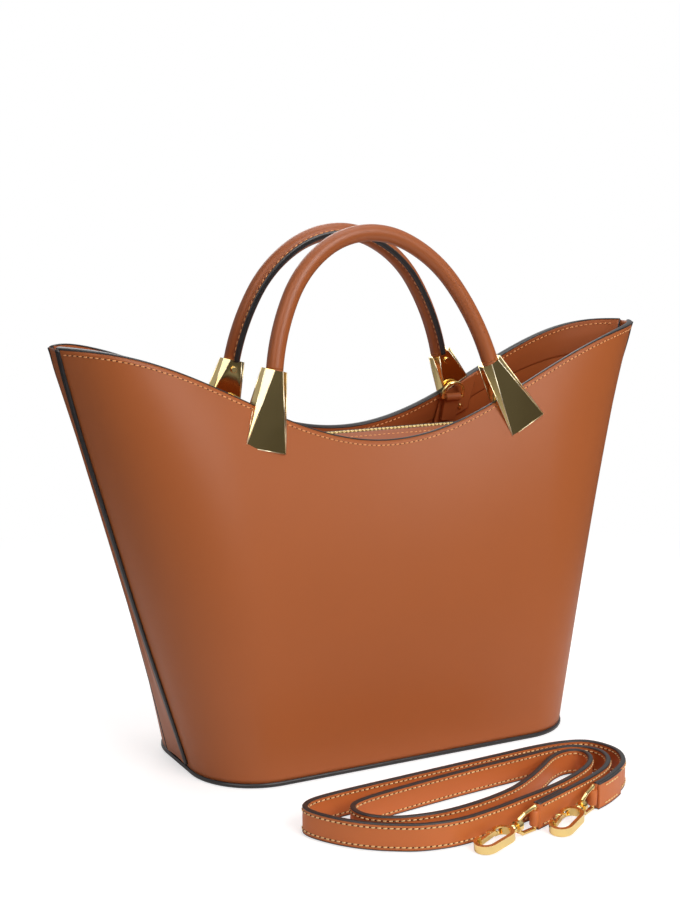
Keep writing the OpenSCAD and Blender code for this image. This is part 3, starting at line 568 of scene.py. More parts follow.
class Graph:
    """The nodes of a material or a world, built by name."""

    def __init__(self, owner):
        self.owner = owner
        owner.use_nodes = True
        self.tree = owner.node_tree
        self.tree.nodes.clear()

    def node(self, kind, values=None, out=0, **settings):
        """Adds a node, sets it up, fills its sockets with numbers or links, and gives an output."""
        made = self.tree.nodes.new(f"ShaderNode{kind}")
        for key, value in settings.items():
            setattr(made, key, value)
        for key, value in (values or {}).items():
            socket = made.inputs[key]
            if isinstance(value, Link):
                self.tree.links.new(value.socket, socket)
            else:
                socket.default_value = value
        return Link(self, made.outputs[out]) if len(made.outputs) else None

    def noise(self, scale, detail=3.0, rough=0.55):
        """Noise on Object coordinates, at so many bumps per metre."""
        where = self.node("TexCoord", out="Object")
        values = {"Vector": where, "Scale": scale, "Detail": detail, "Roughness": rough}
        return self.node("TexNoise", values)

    def ribs(self, where, scale, direction):
        """Waves of one direction."""
        values = {"Vector": where, "Scale": scale}
        return self.node("TexWave", values, out=1, bands_direction=direction)

    def blend(self, factor, a, b):
        """Mixes two colours."""
        return self.node("Mix", {0: factor, 6: a, 7: b}, out=2, data_type="RGBA")

    def bump(self, height, strength, distance):
        """A bump normal from a height."""
        values = {"Height": height, "Strength": strength, "Distance": distance}
        return self.node("Bump", values)

    def fade(self, value, low, high, start=0.0, end=1.0):
        """A smooth step from start to end while the value goes from low to high."""
        values = {"Value": value, "From Min": low, "From Max": high, "To Min": start, "To Max": end}
        return self.node("MapRange", values, interpolation_type="SMOOTHSTEP")

    def ray(self, kind):
        """1 for rays of one kind, and 0 for the others."""
        return self.node("LightPath", out=f"Is {kind} Ray")

    def lit(self, kind, tone, strength):
        """A shader of one colour that gives light: an Emission or a Background."""
        return self.node(kind, {"Color": (*tone, 1), "Strength": strength})

    def diffuse(self, tone):
        """A plain dull shader."""
        return self.node("BsdfDiffuse", {"Color": (*tone[:3], 1)})

    def mix(self, factor, a, b):
        """Mixes two shaders."""
        return self.node("MixShader", {0: factor, 1: a, 2: b})

    def surface(self, **values):
        """The Principled shader and the output."""
        names = {key.replace("_", " "): value for key, value in values.items()}
        shader = self.node("BsdfPrincipled", names)
        self.node("OutputMaterial", {"Surface": shader})
        return self.owner


def material_graph(name):
    """The empty graph of a new material."""
    return Graph(bpy.data.materials.new(name))


def shade(tone, factor):
    """A colour made lighter or darker."""
    return (*[min(c * factor, 1.0) for c in tone[:3]], 1.0)


def leather_finish(name, tone, gloss=0.42, pores=1.0, coat=0.07):
    """Smooth calf leather: slow tonal drift, faint clouding, very fine pores and handling marks."""
    g = material_graph(name)
    drift = g.noise(9.0, 2.0)
    cloud = g.noise(70.0, 4.0, 0.6)
    fine = g.noise(1900.0, 2.0, 0.5)
    grain = g.noise(5200.0, 1.0, 0.5)
    tint = g.blend(drift, shade(tone, 0.93), shade(tone, 1.07))
    tint = g.blend(0.5 * cloud, tint, shade(tone, 0.94))
    tint = g.blend(0.12 * fine, tint, shade(tone, 0.72))
    return g.surface(
        Base_Color=tint,
        Roughness=gloss - 0.06 + 0.1 * cloud + 0.05 * fine,
        Normal=g.bump(0.5 * fine + 0.5 * grain + 0.6 * cloud, 0.10 * pores, 0.0004),
        Coat_Weight=coat,
        Coat_Roughness=0.38,
        Specular_IOR_Level=0.32,
    )


def paint_finish(name, tone):
    """Edge paint: near black, satin, with faint waves left by the brush."""
    g = material_graph(name)
    wave = g.noise(420.0, 3.0)
    return g.surface(
        Base_Color=g.blend(wave, shade(tone, 0.8), shade(tone, 1.35)),
        Roughness=0.30 + 0.12 * wave,
        Normal=g.bump(wave, 0.12, 0.0006),
        Coat_Weight=0.25,
        Coat_Roughness=0.25,
    )


def thread_finish(name, tone):
    """Waxed thread with a fine twist and a little colour drift from stitch to stitch."""
    g = material_graph(name)
    return g.surface(
        Base_Color=g.blend(g.noise(260.0, 1.0), shade(tone, 0.72), shade(tone, 1.15)),
        Roughness=0.62,
        Normal=g.bump(g.noise(6000.0, 1.0), 0.4, 0.0002),
        Sheen_Weight=0.2,
    )


def metal_finish(name, tone, rough=0.10):
    """Polished plated metal with faint rubbing marks."""
    g = material_graph(name)
    rub = g.noise(900.0, 5.0, 0.65)
    haze = g.noise(60.0, 2.0)
    return g.surface(
        Base_Color=g.blend(haze, shade(tone, 0.94), shade(tone, 1.04)),
        Metallic=1.0,
        Roughness=rough + 0.05 * rub + 0.03 * haze,
        Normal=g.bump(rub, 0.015, 0.0002),
    )


def cloth_finish(name, tone, scale=800 / 3):
    """Woven tape or cord: two crossing sets of ribs from waves."""
    g = material_graph(name)
    where = g.node("TexCoord", out="Object")
    weave = g.ribs(where, scale, "X") * g.ribs(where, scale, "Y")
    return g.surface(
        Base_Color=g.blend(weave, shade(tone, 0.6), shade(tone, 1.25)),
        Roughness=0.85,
        Normal=g.bump(weave, 0.5, 0.0004),
        Sheen_Weight=0.3,
    )


MATERIALS = {}


# ---- operators


class BAG_OT_finishes(bpy.types.Operator):
    """All the materials, which the other pieces need"""

    bl_idname = "bag.finishes"
    bl_label = "Finishes"

    def execute(self, context):
        c = context.scene.bag_colours
        tan = c.leather
        MATERIALS.update(
            leather=leather_finish("tan leather", tan),
            inside=leather_finish("inside leather", c.inside, 0.5),
            side=leather_finish("gusset leather", shade(tan, 0.95), 0.36),
            handle=leather_finish("handle leather", shade(tan, 0.92), 0.38, 0.8, 0.35),
            # The bag's tan made 1.45 times lighter: painted light on the strap, which lies in
            # brighter light
            strap=leather_finish("strap leather", shade(tan, 1.45)),
            paint=paint_finish("edge paint", c.paint),
            thread=thread_finish("bag thread", c.thread),
            # The tan darkened to a fifth: painted shade in the stitch holes
            hole=leather_finish("stitch holes", shade(tan, 0.2), 0.7, 0.4),
            # The strap's thread, lighter than the bag's: painted light
            strap_thread=thread_finish("strap thread", c.strap_thread),
            gold=metal_finish("polished gold", c.gold, 0.09),
            plate=metal_finish("ferrule gold", c.gold, 0.07),
            # Paler gold for the ferrules' edges: a painted highlight
            arris=metal_finish("polished edges", c.arris, 0.25),
            teeth=metal_finish("zip metal", c.teeth, 0.34),
            steel=metal_finish("spring steel", c.steel, 0.3),
            tape=cloth_finish("zip tape", c.tape),
            cord=cloth_finish("cotton cord", c.cord),
            board=leather_finish("stiffener", c.board, 0.7, 1.6),
        )
        return {"FINISHED"}


class BAG_OT_panels(bpy.types.Operator):
    """Front and back panels with their painted edges and rim stitches"""

    bl_idname = "bag.panels"
    bl_label = "Panels"

    def execute(self, context):
        s = sizes_in_mm(context)
        t, v = spread(200)[:, None], np.linspace(0, 1, 91)[None, :]
        for side, word in SIDES:
            sheet = shell_mesh(
                f"{word}_panel_leather", skin(t, v, side, s), inset(t, v, s.panel, side, s)
            )
            dress(sheet, "leather", "bag", f"{word}_panel")
            self.rim_paint(word, side, s)
            for end, name in ENDS:
                self.seam_paint(f"{word}_{name}_seam", end, side, s)
            self.rim_stitches(word, side, s)
        return {"FINISHED"}

    def rim_paint(self, word, side, s):
        """The bead runs along the rim over panel and facing together."""
        t = spread(300)
        stack = s.panel + s.facing
        inn = inward(t, np.full_like(t, 0.997), side, s)
        line = skin(t, 1.0, side, s) + inn * stack / 2
        up = square_to(unit(skin(t, 1.0, side, s) - skin(t, 0.98, side, s)), inn)
        paint_edge(f"{word}_rim", line, inn, up, bead_profile(stack + 0.25, 0.7, 0.5))

    def seam_paint(self, name, end, side, s):
        """The bead runs up an end edge of the panel."""
        v = np.linspace(0, 1, 120)
        t = np.full_like(v, float(end))
        inn = inward(t * 0.999, v, side, s)
        edge = skin(t, v, side, s)
        away = square_to(unit(edge - skin(t * 0.995, v, side, s)), inn)
        profile = bead_profile(s.panel + 0.2, 0.6, 0.3)
        paint_edge(name, edge + inn * s.panel / 2, inn, away, profile)

    def rim_stitches(self, word, side, s):
        """One row just below the rim, outside and on the facing inside."""
        t = spread(600) * ROW_T
        step = np.linalg.norm(skin(t, 1.0, side, s) - skin(t, 0.98, side, s), axis=-1) / 0.02
        v = 1 - ROW_DOWN / step
        inn = inward(t, v, side, s)
        for name, depth, way in (("outer", 0.0, -1.0), ("inner", s.panel + s.facing, 1.0)):
            line = inset(t, v, np.full_like(t, depth), side, s)
            sew(f"{word}_rim_{name}", line, way * inn, s.stitch, s.thread, lift=0.06)


class BAG_OT_ends(bpy.types.Operator):
    """Gussets over the two ends, the base with its painted edge and the board inside"""

    bl_idname = "bag.ends"
    bl_label = "Gussets and base"

    def execute(self, context):
        s = sizes_in_mm(context)
        for end, word in ENDS:
            outer, inner = self.lapped(end, s.gusset, s), self.lapped(end, 0.0, s)
            sheet = shell_mesh(f"{word}_gusset_leather", outer, inner)
            dress(sheet, "side", "bag", f"{word}_gusset")
            for side, name in SIDES:
                self.lap_paint(f"{word}_gusset_{name}", end, side, s)
        self.base(s)
        copy_piece("base_board", "base_stiffener", "board", "bag", 0.3)
        return {"FINISHED"}

    def lap(self, v):
        """How far a gusset laps over each seam, as a share of the panel: most at the base."""
        return 0.004 + 0.012 * (1 - v) ** 2

    def skived(self, v):
        """A gusset's thickness as a share of its own: it is pared down just below the rim."""
        return 1 - 0.85 * np.clip((v - 0.93) / 0.055, 0, 1) ** 2

    def lapped(self, end, d, s):
        """Across: over the front seam, a sunken middle, over the back seam; up: the seam's height.

        d is the distance from the gusset's inner face. The middle sinks by a power of sin(pi v)
        and is drawn in where it meets the base."""
        low = 0.01 + 0.05 * (1 - np.cos(np.linspace(0, np.pi / 2, 8)))
        v = np.concatenate([low, np.linspace(0.07, 1.0, 110)])
        thin, lap = self.skived(v), self.lap(v)
        d = d * thin
        spots = [
            inset(end * t * np.ones_like(v), v, -s.layer - d, FRONT, s)
            for t in (1 - lap, 1 - lap / 2, 1.0)
        ]
        middle = skin(np.full_like(v, float(end)), v, FRONT, s) * [1, 0, 1]
        sunk = 2.2 * np.sin(np.pi * np.clip(v, 0.05, 0.95)) ** 0.7
        drawn = 0.8 * np.clip(1 - v / 0.05, 0, 1) ** 2
        middle[:, 0] += end * ((s.gusset_full - sunk) * thin + d - drawn)
        mirrored = [spot * [1, -1, 1] for spot in reversed(spots)]
        keys = np.stack([*spots, middle, *mirrored], 1)
        return np.stack([smooth_line(row, 6) for row in keys])

    def lap_paint(self, name, end, side, s):
        """A painted bead on a long edge of the gusset, rounded a little over its face."""
        v = np.linspace(0.01, 1.0, 140)
        near = end * (1 - self.lap(v))
        inn = inward(near, v, side, s)
        edge = skin(near, v, side, s)
        away = square_to(unit(edge - skin(near + 0.01 * end, v, side, s)), inn)
        line = edge - inn * (s.layer + s.gusset * self.skived(v)[:, None] / 2 - 0.05)
        paint_edge(name, line, inn, away, bead_profile(s.gusset + 0.6, 1.2, 1.6))

    def base(self, s):
        """The outline is carried as rings whose distance from the edge follows a rounded rim."""
        a = np.linspace(0, np.pi / 2, 25)[None, :]
        corner = np.array([[1, 1], [-1, 1], [-1, -1], [1, -1]], float)
        turn = np.arange(4)[:, None] * np.pi / 2
        cx = (s.half_length - s.corner) * corner[:, :1]
        cy = (s.half_depth - s.corner) * corner[:, 1:]
        half = ((-24.0, 0.0), (-1.2, 0.0), (-0.35, 0.25), (0.0, 0.9))
        rings = []
        for out, z in (*half, *((out, s.base - z) for out, z in reversed(half))):
            radius = s.corner + s.base_proud + out
            x, y = cx + radius * np.cos(a + turn), cy + radius * np.sin(a + turn)
            rings.append(np.stack([x.ravel(), y.ravel(), np.full(x.size, z)], -1))
        made = carried_mesh("base_edge_and_bottom", np.stack(rings))
        dress(made, "paint", "bag", "base_panel")


class BAG_OT_linings(bpy.types.Operator):
    """Rim facings, patches and the zip's fixed facings"""

    bl_idname = "bag.linings"
    bl_label = "Facings and patches"

    def execute(self, context):
        s = sizes_in_mm(context)
        for side, word in SIDES:
            self.facing(word, side, s)
            for way, name in ENDS:
                self.patch(f"{word}_{name}_patch", way, side, s)
            node = f"{word}_zip_facing"
            copy_piece(node, f"{node}_leather", "inside", "bag", 0.2, 40)
        for _, word in ENDS:
            node = f"zip_end_{word}"
            copy_piece(node, f"{node}_leather", "inside", "bag", 0.2)
        copy_piece("patch_rivets", "patch_rivet_heads", "gold", "bag", 0.5, segments=3)
        return {"FINISHED"}

    def facing(self, word, side, s):
        """A strip inside the rim, pared down towards its lower edge."""
        t, v = spread(200)[:, None], np.linspace(FACING_V, 1.0, 16)[None, :]
        pared = 0.08 + 0.92 * np.clip((v - FACING_V) / 0.05, 0, 1)
        low = s.panel + s.layer
        outer = inset(t, v, low, side, s)
        inner = inset(t, v, low + (s.facing - s.layer) * pared, side, s)
        made = shell_mesh(f"{word}_facing_leather", outer, inner)
        dress(made, "inside", "bag", f"{word}_rim_facing")

    def patch(self, node, way, side, s):
        """A piece of leather from the rim down behind the ferrule."""
        t = np.linspace(*sorted(way * end for end in PATCH_T), 24)[:, None]
        v = np.linspace(PATCH_V, 1.0, 20)[None, :]
        low = s.panel + s.facing
        outer, inner = inset(t, v, low + s.layer, side, s), inset(t, v, low + s.patch, side, s)
        made = shell_mesh(f"{node}_leather", outer, inner)
        dress(made, "inside", "bag", node)


class BAG_OT_handles(bpy.types.Operator):
    """Round leather handles with a stitched and painted edge, and the cords in them"""

    bl_idname = "bag.handles"
    bl_label = "Handles"

    def execute(self, context):
        s = sizes_in_mm(context)
        plane_z = rim_height(FERRULE_X / s.half_width, s) + HANDLE_UP
        tilt = math.radians(HANDLE_TILT)
        spots, ways = self.stations(tilt)
        for side, word in SIDES:
            up = np.array([0, -side * math.sin(tilt), math.cos(tilt)])
            origin = np.array([0, side * s.handle_y, plane_z])
            line = origin + spots[:, :1] * ACROSS + spots[:, 1:] * up
            radial = np.sin(ways)[:, None] * ACROSS - np.cos(ways)[:, None] * up
            self.cover(f"{word}_handle", line, radial, side * np.cross(ACROSS, up), s)
            self.grips(f"{word}_handle", line, ways, up, s)
            copy_piece(f"{word}_handle_core", f"{word}_handle_cord", "cord", "bag")
        return {"FINISHED"}

    def stations(self, tilt):
        """Five arcs that turn left, laid end to end from the right foot to the left foot.

        They give headings, and places in the handle's plane from a point HANDLE_UP over the rim."""

        def foot(way):
            lean = math.radians(FERRULE_SPLAY + way * FERRULE_SWAY)
            x = way * (FERRULE_X - FERRULE_UP * math.sin(lean))
            return np.array([x, (FERRULE_UP * math.cos(lean) - HANDLE_UP) / math.cos(tilt)])

        p = foot(1)
        step = foot(-1) - p
        scale = np.linalg.norm(step) / HANDLE_SPAN
        h = math.radians(HANDLE_HEADING) + math.atan2(step[1], step[0]) - math.pi
        spots, ways = [], []
        for radius, degrees in HANDLE_ARCS:
            r, a = radius * scale, math.radians(degrees)
            q = np.linspace(h, h + a, 41)
            arc = p + r * np.stack([np.sin(q) - math.sin(h), math.cos(h) - np.cos(q)], -1)
            spots.append(arc[:-1])
            ways.append(q[:-1])
            p, h = arc[-1], q[-1]
        return np.concatenate([*spots, [p]]), np.concatenate([*ways, [h]])

    def cover(self, name, line, radial, inner, s):
        """The profile is a circle that runs into a flat edge; the edge's tip has a painted bead."""
        r, reach, half = s.handle / 2, s.flange - 0.8, s.flange_t / 2 - 0.25
        gap = math.asin(half / r) + 0.10
        a = np.linspace(np.pi / 2 + gap, 5 * np.pi / 2 - gap, 44)
        foot = r * math.cos(gap) + 0.35
        flat = np.array([[half + 0.08, foot], [half, foot + 0.5], [half, reach]])
        body = r * np.stack([np.cos(a), np.sin(a)], -1)
        profile = np.concatenate([body, flat, flat[::-1] * [-1, 1]])
        edge = np.repeat(inner[None], len(line), 0)
        made = carried_mesh(f"{name}_leather", carry(line, radial, edge, profile))
        dress(made, "handle", "bag", f"{name}_cover")
        bead = bead_profile(s.flange_t - 0.3, 0.75, 0.35)
        paint_edge(name, line + edge * reach, radial, edge, bead)
        for way, word in ((-1, "under"), (1, "over")):
            row = line + edge * (foot + 0.9) + radial * half * way
            pitch = s.handle_stitch
            sew(f"{name}_{word}", row, radial * way, pitch, s.thread, lead=2.0, share=0.74)

    def grips(self, name, line, ways, up, s):
        """The ends that go down into the ferrules, without the edge."""
        ring = circle(40) * s.handle / 2 * 0.998
        down = np.linspace(-0.2, HANDLE_GRIP, 4)[:, None]
        other = np.repeat(np.cross(ACROSS, up)[None], 4, 0)
        for word, at, back in (("right", 0, -1), ("left", -1, 1)):
            spot, h = line[at], ways[at]
            way = math.cos(h) * ACROSS + math.sin(h) * up
            side_way = np.repeat((math.sin(h) * ACROSS - math.cos(h) * up)[None], 4, 0)
            made = carried_mesh(
                f"{name}_{word}_grip", carry(spot + back * down * way, side_way, other, ring)
            )
            dress(made, "handle", "bag")


class BAG_OT_metal(bpy.types.Operator):
    """Ferrules, screws and rings of polished metal, and the rings' leather tabs"""

    bl_idname = "bag.metal"
    bl_label = "Ferrules and rings"

    def execute(self, context):
        for _, side in SIDES:
            for _, end in ENDS:
                node = f"{side}_{end}_ferrule"
                copy_piece(node, f"{node}_metal", "plate", "bag", angle=14)
                # Bars of paler gold on the ferrule's edges: a painted highlight
                dress(edge_lines(node, f"{node}_edges"), "arris", "bag")
        copy_piece("ferrule_screws", "ferrule_screw_heads", "gold", "bag", 0.35, segments=3)
        for _, word in ENDS:
            copy_piece(f"{word}_ring", f"{word}_ring_metal", "gold", f"{word}_ring")
            node = f"{word}_ring_tab"
            copy_piece(node, f"{word}_tab_leather", "inside", "bag", 0.3)
        return {"FINISHED"}


class Flap:
    """One zip flap's own axes: x across the bag, y up the leather to the zip, z out of it."""

    def __init__(self, side):
        slope = math.radians(FLAP_SLOPE)
        self.ahead = np.array([0, -side * math.cos(slope), math.sin(slope)])
        self.lift = np.array([0, side * math.sin(slope), math.cos(slope)])
        hinge_z = ZIP_Z - FLAP_REACH * math.tan(slope) + 0.6
        self.origin = np.array([0, side * FLAP_REACH, hinge_z])
        self.run = FLAP_REACH / math.cos(slope)

    def at(self, x, y, z):
        """Points of the bag for places on the flap."""
        places = np.stack(np.broadcast_arrays(x, y, z), -1)
        return self.origin + places @ np.stack([ACROSS, self.ahead, self.lift])


class BAG_OT_zip(bpy.types.Operator):
    """Two leather flaps with tape and metal teeth, the slider and its pull"""

    bl_idname = "bag.zip"
    bl_label = "Zip"

    def execute(self, context):
        s = sizes_in_mm(context)
        for side, word in SIDES:
            flap, body = Flap(side), f"{word}_flap"
            self.leather(word, flap, body)
            copy_piece(f"{word}_zip_tape", f"{word}_tape_cloth", "tape", body, 0.1)
            xs = np.linspace(-ZIP_HALF + 3, ZIP_HALF - 3, 200)
            line = flap.at(xs, flap.run - FLAP_ROW_IN, FLAP_HALF_T + 0.02)
            lift = np.repeat(flap.lift[None], 200, 0)
            sew(body, line, lift, s.stitch, s.thread, body, share=0.76, lift=0.0, holes=False)
            self.paint(flap, body)
            self.teeth(word, flap, body, 0.25 if side == FRONT else 0.75)
        for node, body in (("zip_slider", "slider"), ("zip_pull", "pull")):
            copy_piece(node, f"{node}_metal", "teeth", body, 0.25)
        return {"FINISHED"}

    def leather(self, word, flap, body):
        """A sheet with a round hinge edge, which sags by a sine along and across it."""
        x = np.linspace(-ZIP_HALF, ZIP_HALF, 160)[:, None]
        rows = np.linspace(0, 1, 14)[None, :]
        y = -FLAP_HALF_T + (flap.run - FLAP_SHORT + FLAP_HALF_T) * rows
        sag = 0.12 * np.sin(x / 11.0) * np.sin(np.pi * rows)
        half = FLAP_HALF_T * np.sqrt(np.clip(1 - np.clip(-y / 0.75, 0, 1) ** 2, 0.05, 1))
        made = shell_mesh(f"{body}_leather", flap.at(x, y, half + sag), flap.at(x, y, sag - half))
        dress(made, "inside", body, f"{word}_zip_flap")

    def paint(self, flap, body):
        """A painted bead on the flap's free edge, next to the teeth."""
        line = flap.at(np.linspace(-ZIP_HALF, ZIP_HALF, 120), flap.run - FLAP_SHORT, 0.0)
        up, lift = (np.repeat(way[None], 120, 0) for way in (flap.ahead, flap.lift))
        paint_edge(body, line, lift, up, bead_profile(1.5, 0.35, 0.2, 8), body)

    def teeth(self, word, flap, body, shift):
        """Rounded teeth at an even pitch, each a block whose nose narrows."""
        x0 = (np.arange(TOOTH_COUNT) + shift - TOOTH_COUNT / 2) * TOOTH_PITCH
        start, tip = flap.run - 2.6, flap.run + 0.35
        along = np.array([0.0, 0.35, 0.7, 0.88, 1.0])[:, None]
        half_x = np.array([0.72, 0.78, 0.74, 0.6, 0.32])[:, None]
        half_z = np.array([0.8, 0.95, 0.95, 0.8, 0.5])[:, None]
        corner_x = np.array([1, 0.6, -0.6, -1, -1, -0.6, 0.6, 1])
        corner_z = np.array([0.6, 1, 1, 0.6, -0.6, -1, -1, -0.6])
        x = x0[:, None, None] + half_x * corner_x
        points = flap.at(x, start + along * (tip - start), half_z * corner_z - 0.9)
        faces = repeated(bar_faces(5, 8), TOOTH_COUNT)
        made = face_out(put_mesh(f"{word}_teeth_metal", points, faces))
        dress(made, "teeth", body, f"{word}_zip_teeth")


class BAG_OT_strap(bpy.types.Operator):
    """The shoulder strap: two layers sewn together, lying in a loose coil on its painted edge"""

    bl_idname = "bag.strap"
    bl_label = "Shoulder strap"

    def execute(self, context):
        s = sizes_in_mm(context)
        line = smooth_line(ROUTE, 10)
        way = unit(np.gradient(line, axis=0))
        left = np.stack([-way[:, 1], way[:, 0], np.zeros(len(line))], -1)
        middle = lifted(line, s.strap / 2)
        up = np.repeat([UPWARD], len(line), 0)
        rings = carry(middle, left, up, self.profile(s.strap_t / 2, s.strap / 2))
        body = carried_mesh("strap_leather", rings)
        dress(body, "strap", "strap", "shoulder_strap")
        self.paint("strap", line, left, bead_profile(s.strap_t + 0.05, 0.55, 0.25), s)
        for name, sign in (("outer", 1), ("inner", -1)):
            self.rows(f"strap_{name}", line, left * sign, s.strap_t / 2, s, lead=4.0)
        self.end("one", line[::-1], -1, s)
        self.end("two", line, 1, s)
        return {"FINISHED"}

    def profile(self, half_t, half_w):
        """A flat rectangle whose long sides bow out a little between the rows of stitches."""
        w = np.linspace(-half_w + BEAD_IN, half_w - BEAD_IN, 17)
        bow = np.cos(np.clip(w / (half_w - ROW_IN), -1.3, 1.3) * np.pi)
        swell = half_t - 0.10 + 0.05 * bow
        return np.concatenate([np.stack([swell, w], -1), np.stack([-swell, w], -1)[::-1]])

    def paint(self, name, line, across, profile, s):
        """A painted bead on the upper and the lower edge."""
        for word, z, sign in (("top", s.strap - BEAD_IN, 1.0), ("bottom", BEAD_IN, -1.0)):
            away = np.repeat([UPWARD * sign], len(line), 0)
            paint_edge(f"{name}_{word}", lifted(line, z), across, away, profile, "strap")

    def rows(self, name, line, out, depth, s, **look):
        """Two rows of stitches on one face, near its two edges."""
        for word, z in (("high", s.strap - ROW_IN), ("low", ROW_IN)):
            face = lifted(line, z) + out * depth
            thick = s.thread * 1.1
            sew(f"{name}_{word}", face, out, s.stitch, thick, "strap", "strap_thread", **look)

    def end(self, name, spots, turn, s):
        """Each end is folded back round the clasp's bar, thinner where the bar's arms pass."""
        keep = spots[run_lengths(spots) < FOLD_LENGTH]
        way = unit(np.gradient(keep, axis=0)) * turn
        out = lifted(np.stack([way[:, 1], -way[:, 0]], -1), 0.0)
        layer = keep + out[:, :2] * (s.strap_t / 2 + s.fold_t / 2 - 0.05)
        half = s.fold_t / 2 + 0.05
        up = np.repeat([UPWARD], len(layer), 0)
        rings = carry(lifted(layer, s.strap / 2), out, up, self.profile(half, s.strap / 2))
        fold = f"strap_fold_{name}"
        dress(carried_mesh(fold, rings), "strap", "strap")
        self.paint(fold, layer, out, bead_profile(s.fold_t + 0.1, 0.5, 0.2, 8), s)
        self.rows(fold, layer, out, half, s, lead=6.0, holes=False)
        radius, bore = FOLD_BORE + s.fold_t, FOLD_BORE + 0.01
        notch = 2 * (BAR_RADIUS + 0.2) + 0.6
        top = s.strap - notch
        centre = spots[0] + radius * unit(spots[0] - spots[6])
        low = ((radius - 0.4, notch), (radius, notch + 0.5))
        high = ((radius, top - 0.5), (radius - 0.4, top))
        shape = (*low, *high, (bore, top), (bore, notch))
        rings = np.stack([lifted(centre + r * circle(48), z) for r, z in shape])
        dress(carried_mesh(f"strap_loop_{name}", rings, closed=True), "strap", "strap")


class BAG_OT_clasps(bpy.types.Operator):
    """Two swivel clasps of polished metal"""

    bl_idname = "bag.clasps"
    bl_label = "Clasps"

    def execute(self, context):
        for k in ("one", "two"):
            for part, rider, bevel in (
                ("eye", "eye", 0.0),
                ("hook", "hook", 0.45),
                ("gate", "gate", 0.3),
                ("gate_pin", "hook", 0.1),
            ):
                node = f"{part}_{k}"
                copy_piece(node, f"{node}_metal", "gold", f"{rider}_{k}", bevel, segments=3)
            node = f"gate_spring_{k}"
            copy_piece(node, f"{node}_metal", "steel", f"hook_{k}")
        return {"FINISHED"}


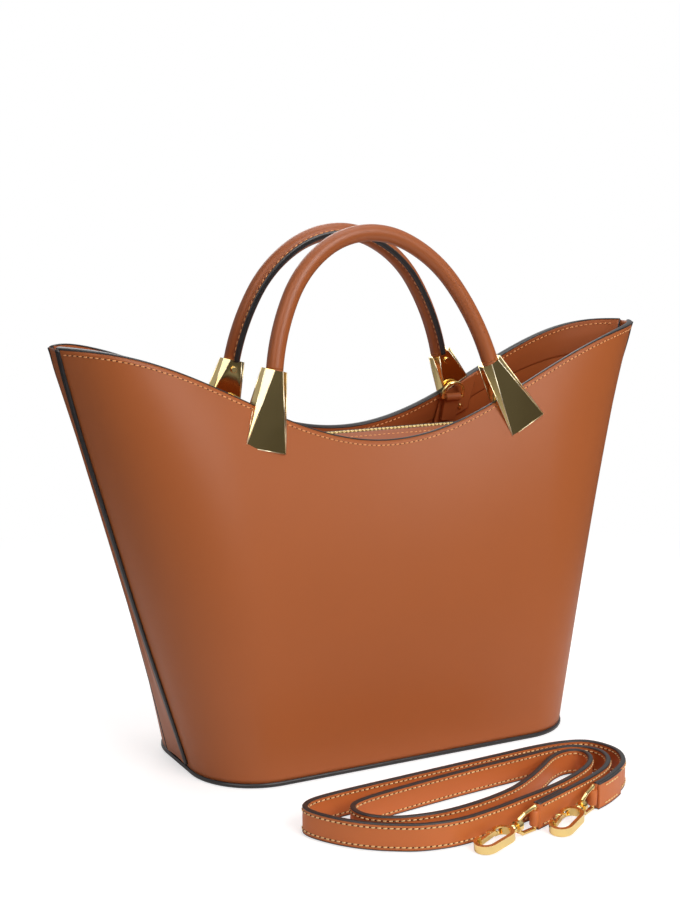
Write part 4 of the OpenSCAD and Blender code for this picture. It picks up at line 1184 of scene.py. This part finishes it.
class BAG_OT_stage(bpy.types.Operator):
    """Camera, white floor and soft studio light"""

    bl_idname = "bag.stage"
    bl_label = "Stage"

    def execute(self, context):
        self.camera(context)
        self.floor(context.scene.bag_colours.floor)
        self.world(context)
        for lamp in LAMPS:
            self.lamp(*lamp)
        context.scene.view_settings.view_transform = "Standard"
        return {"FINISHED"}

    def aimed(self, data, place, way):
        """A camera or lamp at a place, looking along a way."""
        made = placed(data.name, data)
        made.location = place
        made.rotation_euler = Vector(way).to_track_quat("-Z", "Y").to_euler()
        return made

    def camera(self, context):
        """The photograph's viewpoint."""
        data = bpy.data.cameras.new("photo view")
        data.lens = VIEW_LENS
        data.sensor_width = 36.0
        data.clip_start = 0.01
        context.scene.camera = self.aimed(data, VIEW_PLACE, VIEW_WAY)

    def floor(self, tone):
        """A plane that is almost white to the camera and keeps a soft part of the shadow.

        To metal it is a plain floor near the bag and as dark as the world beyond it."""
        corners = 9000 * np.array([[-1, -1, 0], [1, -1, 0], [1, 1, 0], [-1, 1, 0]])
        made = put_mesh("floor", corners, np.arange(4)[None])
        made.location.z = -0.0003
        g = material_graph("white floor")
        where = g.node("TexCoord", out="Object")
        far = g.node("VectorMath", {0: where}, out=1, operation="LENGTH")
        shadowed = g.node(
            "AddShader",
            {0: g.diffuse((0.62, 0.60, 0.60)), 1: g.lit("Emission", (1, 1, 1), 0.62)},
        )
        seen = g.mix(g.fade(far, 0.32, 0.7), shadowed, g.lit("Emission", (1, 1, 1), 1.0))
        gone = g.fade(far + 0.3 * g.ray("Glossy"), 0.5, 1.0)
        table = g.mix(gone, g.diffuse(tone), g.lit("Emission", (1.0, 0.98, 0.95), 0.075))
        g.node("OutputMaterial", {"Surface": g.mix(g.ray("Camera"), table, seen)})
        made.data.materials.append(g.owner)

    def world(self, context):
        """White to the camera; elsewhere a dark room with a pale wall, side and ceiling, and to
        metal a bright card that the ferrules' left bevels mirror."""
        world = bpy.data.worlds.new("studio")
        context.scene.world = world
        g = Graph(world)
        way = g.node("TexCoord", out="Generated")
        split = g.node("SeparateXYZ", {0: way}).socket.node
        x, y, z = (Link(g, output) for output in split.outputs)
        white = (1, 1, 1)
        dark = g.lit("Background", (0.9, 0.93, 1.0), 0.07)
        side = g.lit("Background", (1, 0.98, 0.95), 0.14)
        light = g.mix(0.8 * g.fade(x - 0.4 * y, 0.5, 1.2), dark, side)
        light = g.mix(g.fade(y, 0.0, 0.9), light, g.lit("Background", white, 0.4))
        ceiling = g.fade(z, 0.1, 0.75) * g.fade(x, -0.7, 0.2, 0.3, 1.0)
        light = g.mix(ceiling, light, g.lit("Background", white, 0.5))
        aim = g.node("VectorMath", {0: way, 1: CARD_WAY}, out=1, operation="DOT_PRODUCT")
        card = g.fade(aim, 0.9, 0.975) * g.ray("Glossy")
        light = g.mix(card, light, g.lit("Background", white, 3.0))
        whole = g.mix(g.ray("Camera"), light, g.lit("Background", white, 1.0))
        g.node("OutputWorld", {"Surface": whole})

    def lamp(self, name, place, aim, width, height, power, tone):
        """A rectangular area light aimed at a point."""
        data = bpy.data.lights.new(name, "AREA")
        data.shape = "RECTANGLE"
        data.size, data.size_y = width, height
        data.energy = power
        data.color = tone
        self.aimed(data, place, Vector(aim) - Vector(place))


class BAG_PT_panel(bpy.types.Panel):
    """Lists the bag's operators in the sidebar"""

    bl_idname = "BAG_PT_panel"
    bl_label = "Trapeze bag"
    bl_space_type = "VIEW_3D"
    bl_region_type = "UI"
    bl_category = "Trapeze bag"

    def draw(self, context):
        for operator in OPERATORS:
            self.layout.operator(operator.bl_idname)


# The order in which main calls them: the strap needs the clasps, and all need the finishes
OPERATORS = (
    BAG_OT_finishes,
    BAG_OT_stage,
    BAG_OT_clasps,
    BAG_OT_strap,
    BAG_OT_panels,
    BAG_OT_ends,
    BAG_OT_linings,
    BAG_OT_handles,
    BAG_OT_metal,
    BAG_OT_zip,
)
CLASSES = (BagSizes, BagColours, *OPERATORS, BAG_PT_panel)


def register():
    """Registers the classes and hangs the properties on the scene."""
    for cls in CLASSES:
        bpy.utils.register_class(cls)
    bpy.types.Scene.bag_sizes = bpy.props.PointerProperty(type=BagSizes)
    bpy.types.Scene.bag_colours = bpy.props.PointerProperty(type=BagColours)


def unregister():
    """Takes the properties and classes away again."""
    del bpy.types.Scene.bag_sizes
    del bpy.types.Scene.bag_colours
    for cls in reversed(CLASSES):
        bpy.utils.unregister_class(cls)


def main():
    register()
    bpy.ops.bag.finishes()
    bpy.ops.bag.stage()
    bpy.ops.bag.clasps()
    bpy.ops.bag.strap()
    bpy.ops.bag.panels()
    bpy.ops.bag.ends()
    bpy.ops.bag.linings()
    bpy.ops.bag.handles()
    bpy.ops.bag.metal()
    bpy.ops.bag.zip()


if __name__ == "__main__":
    main()
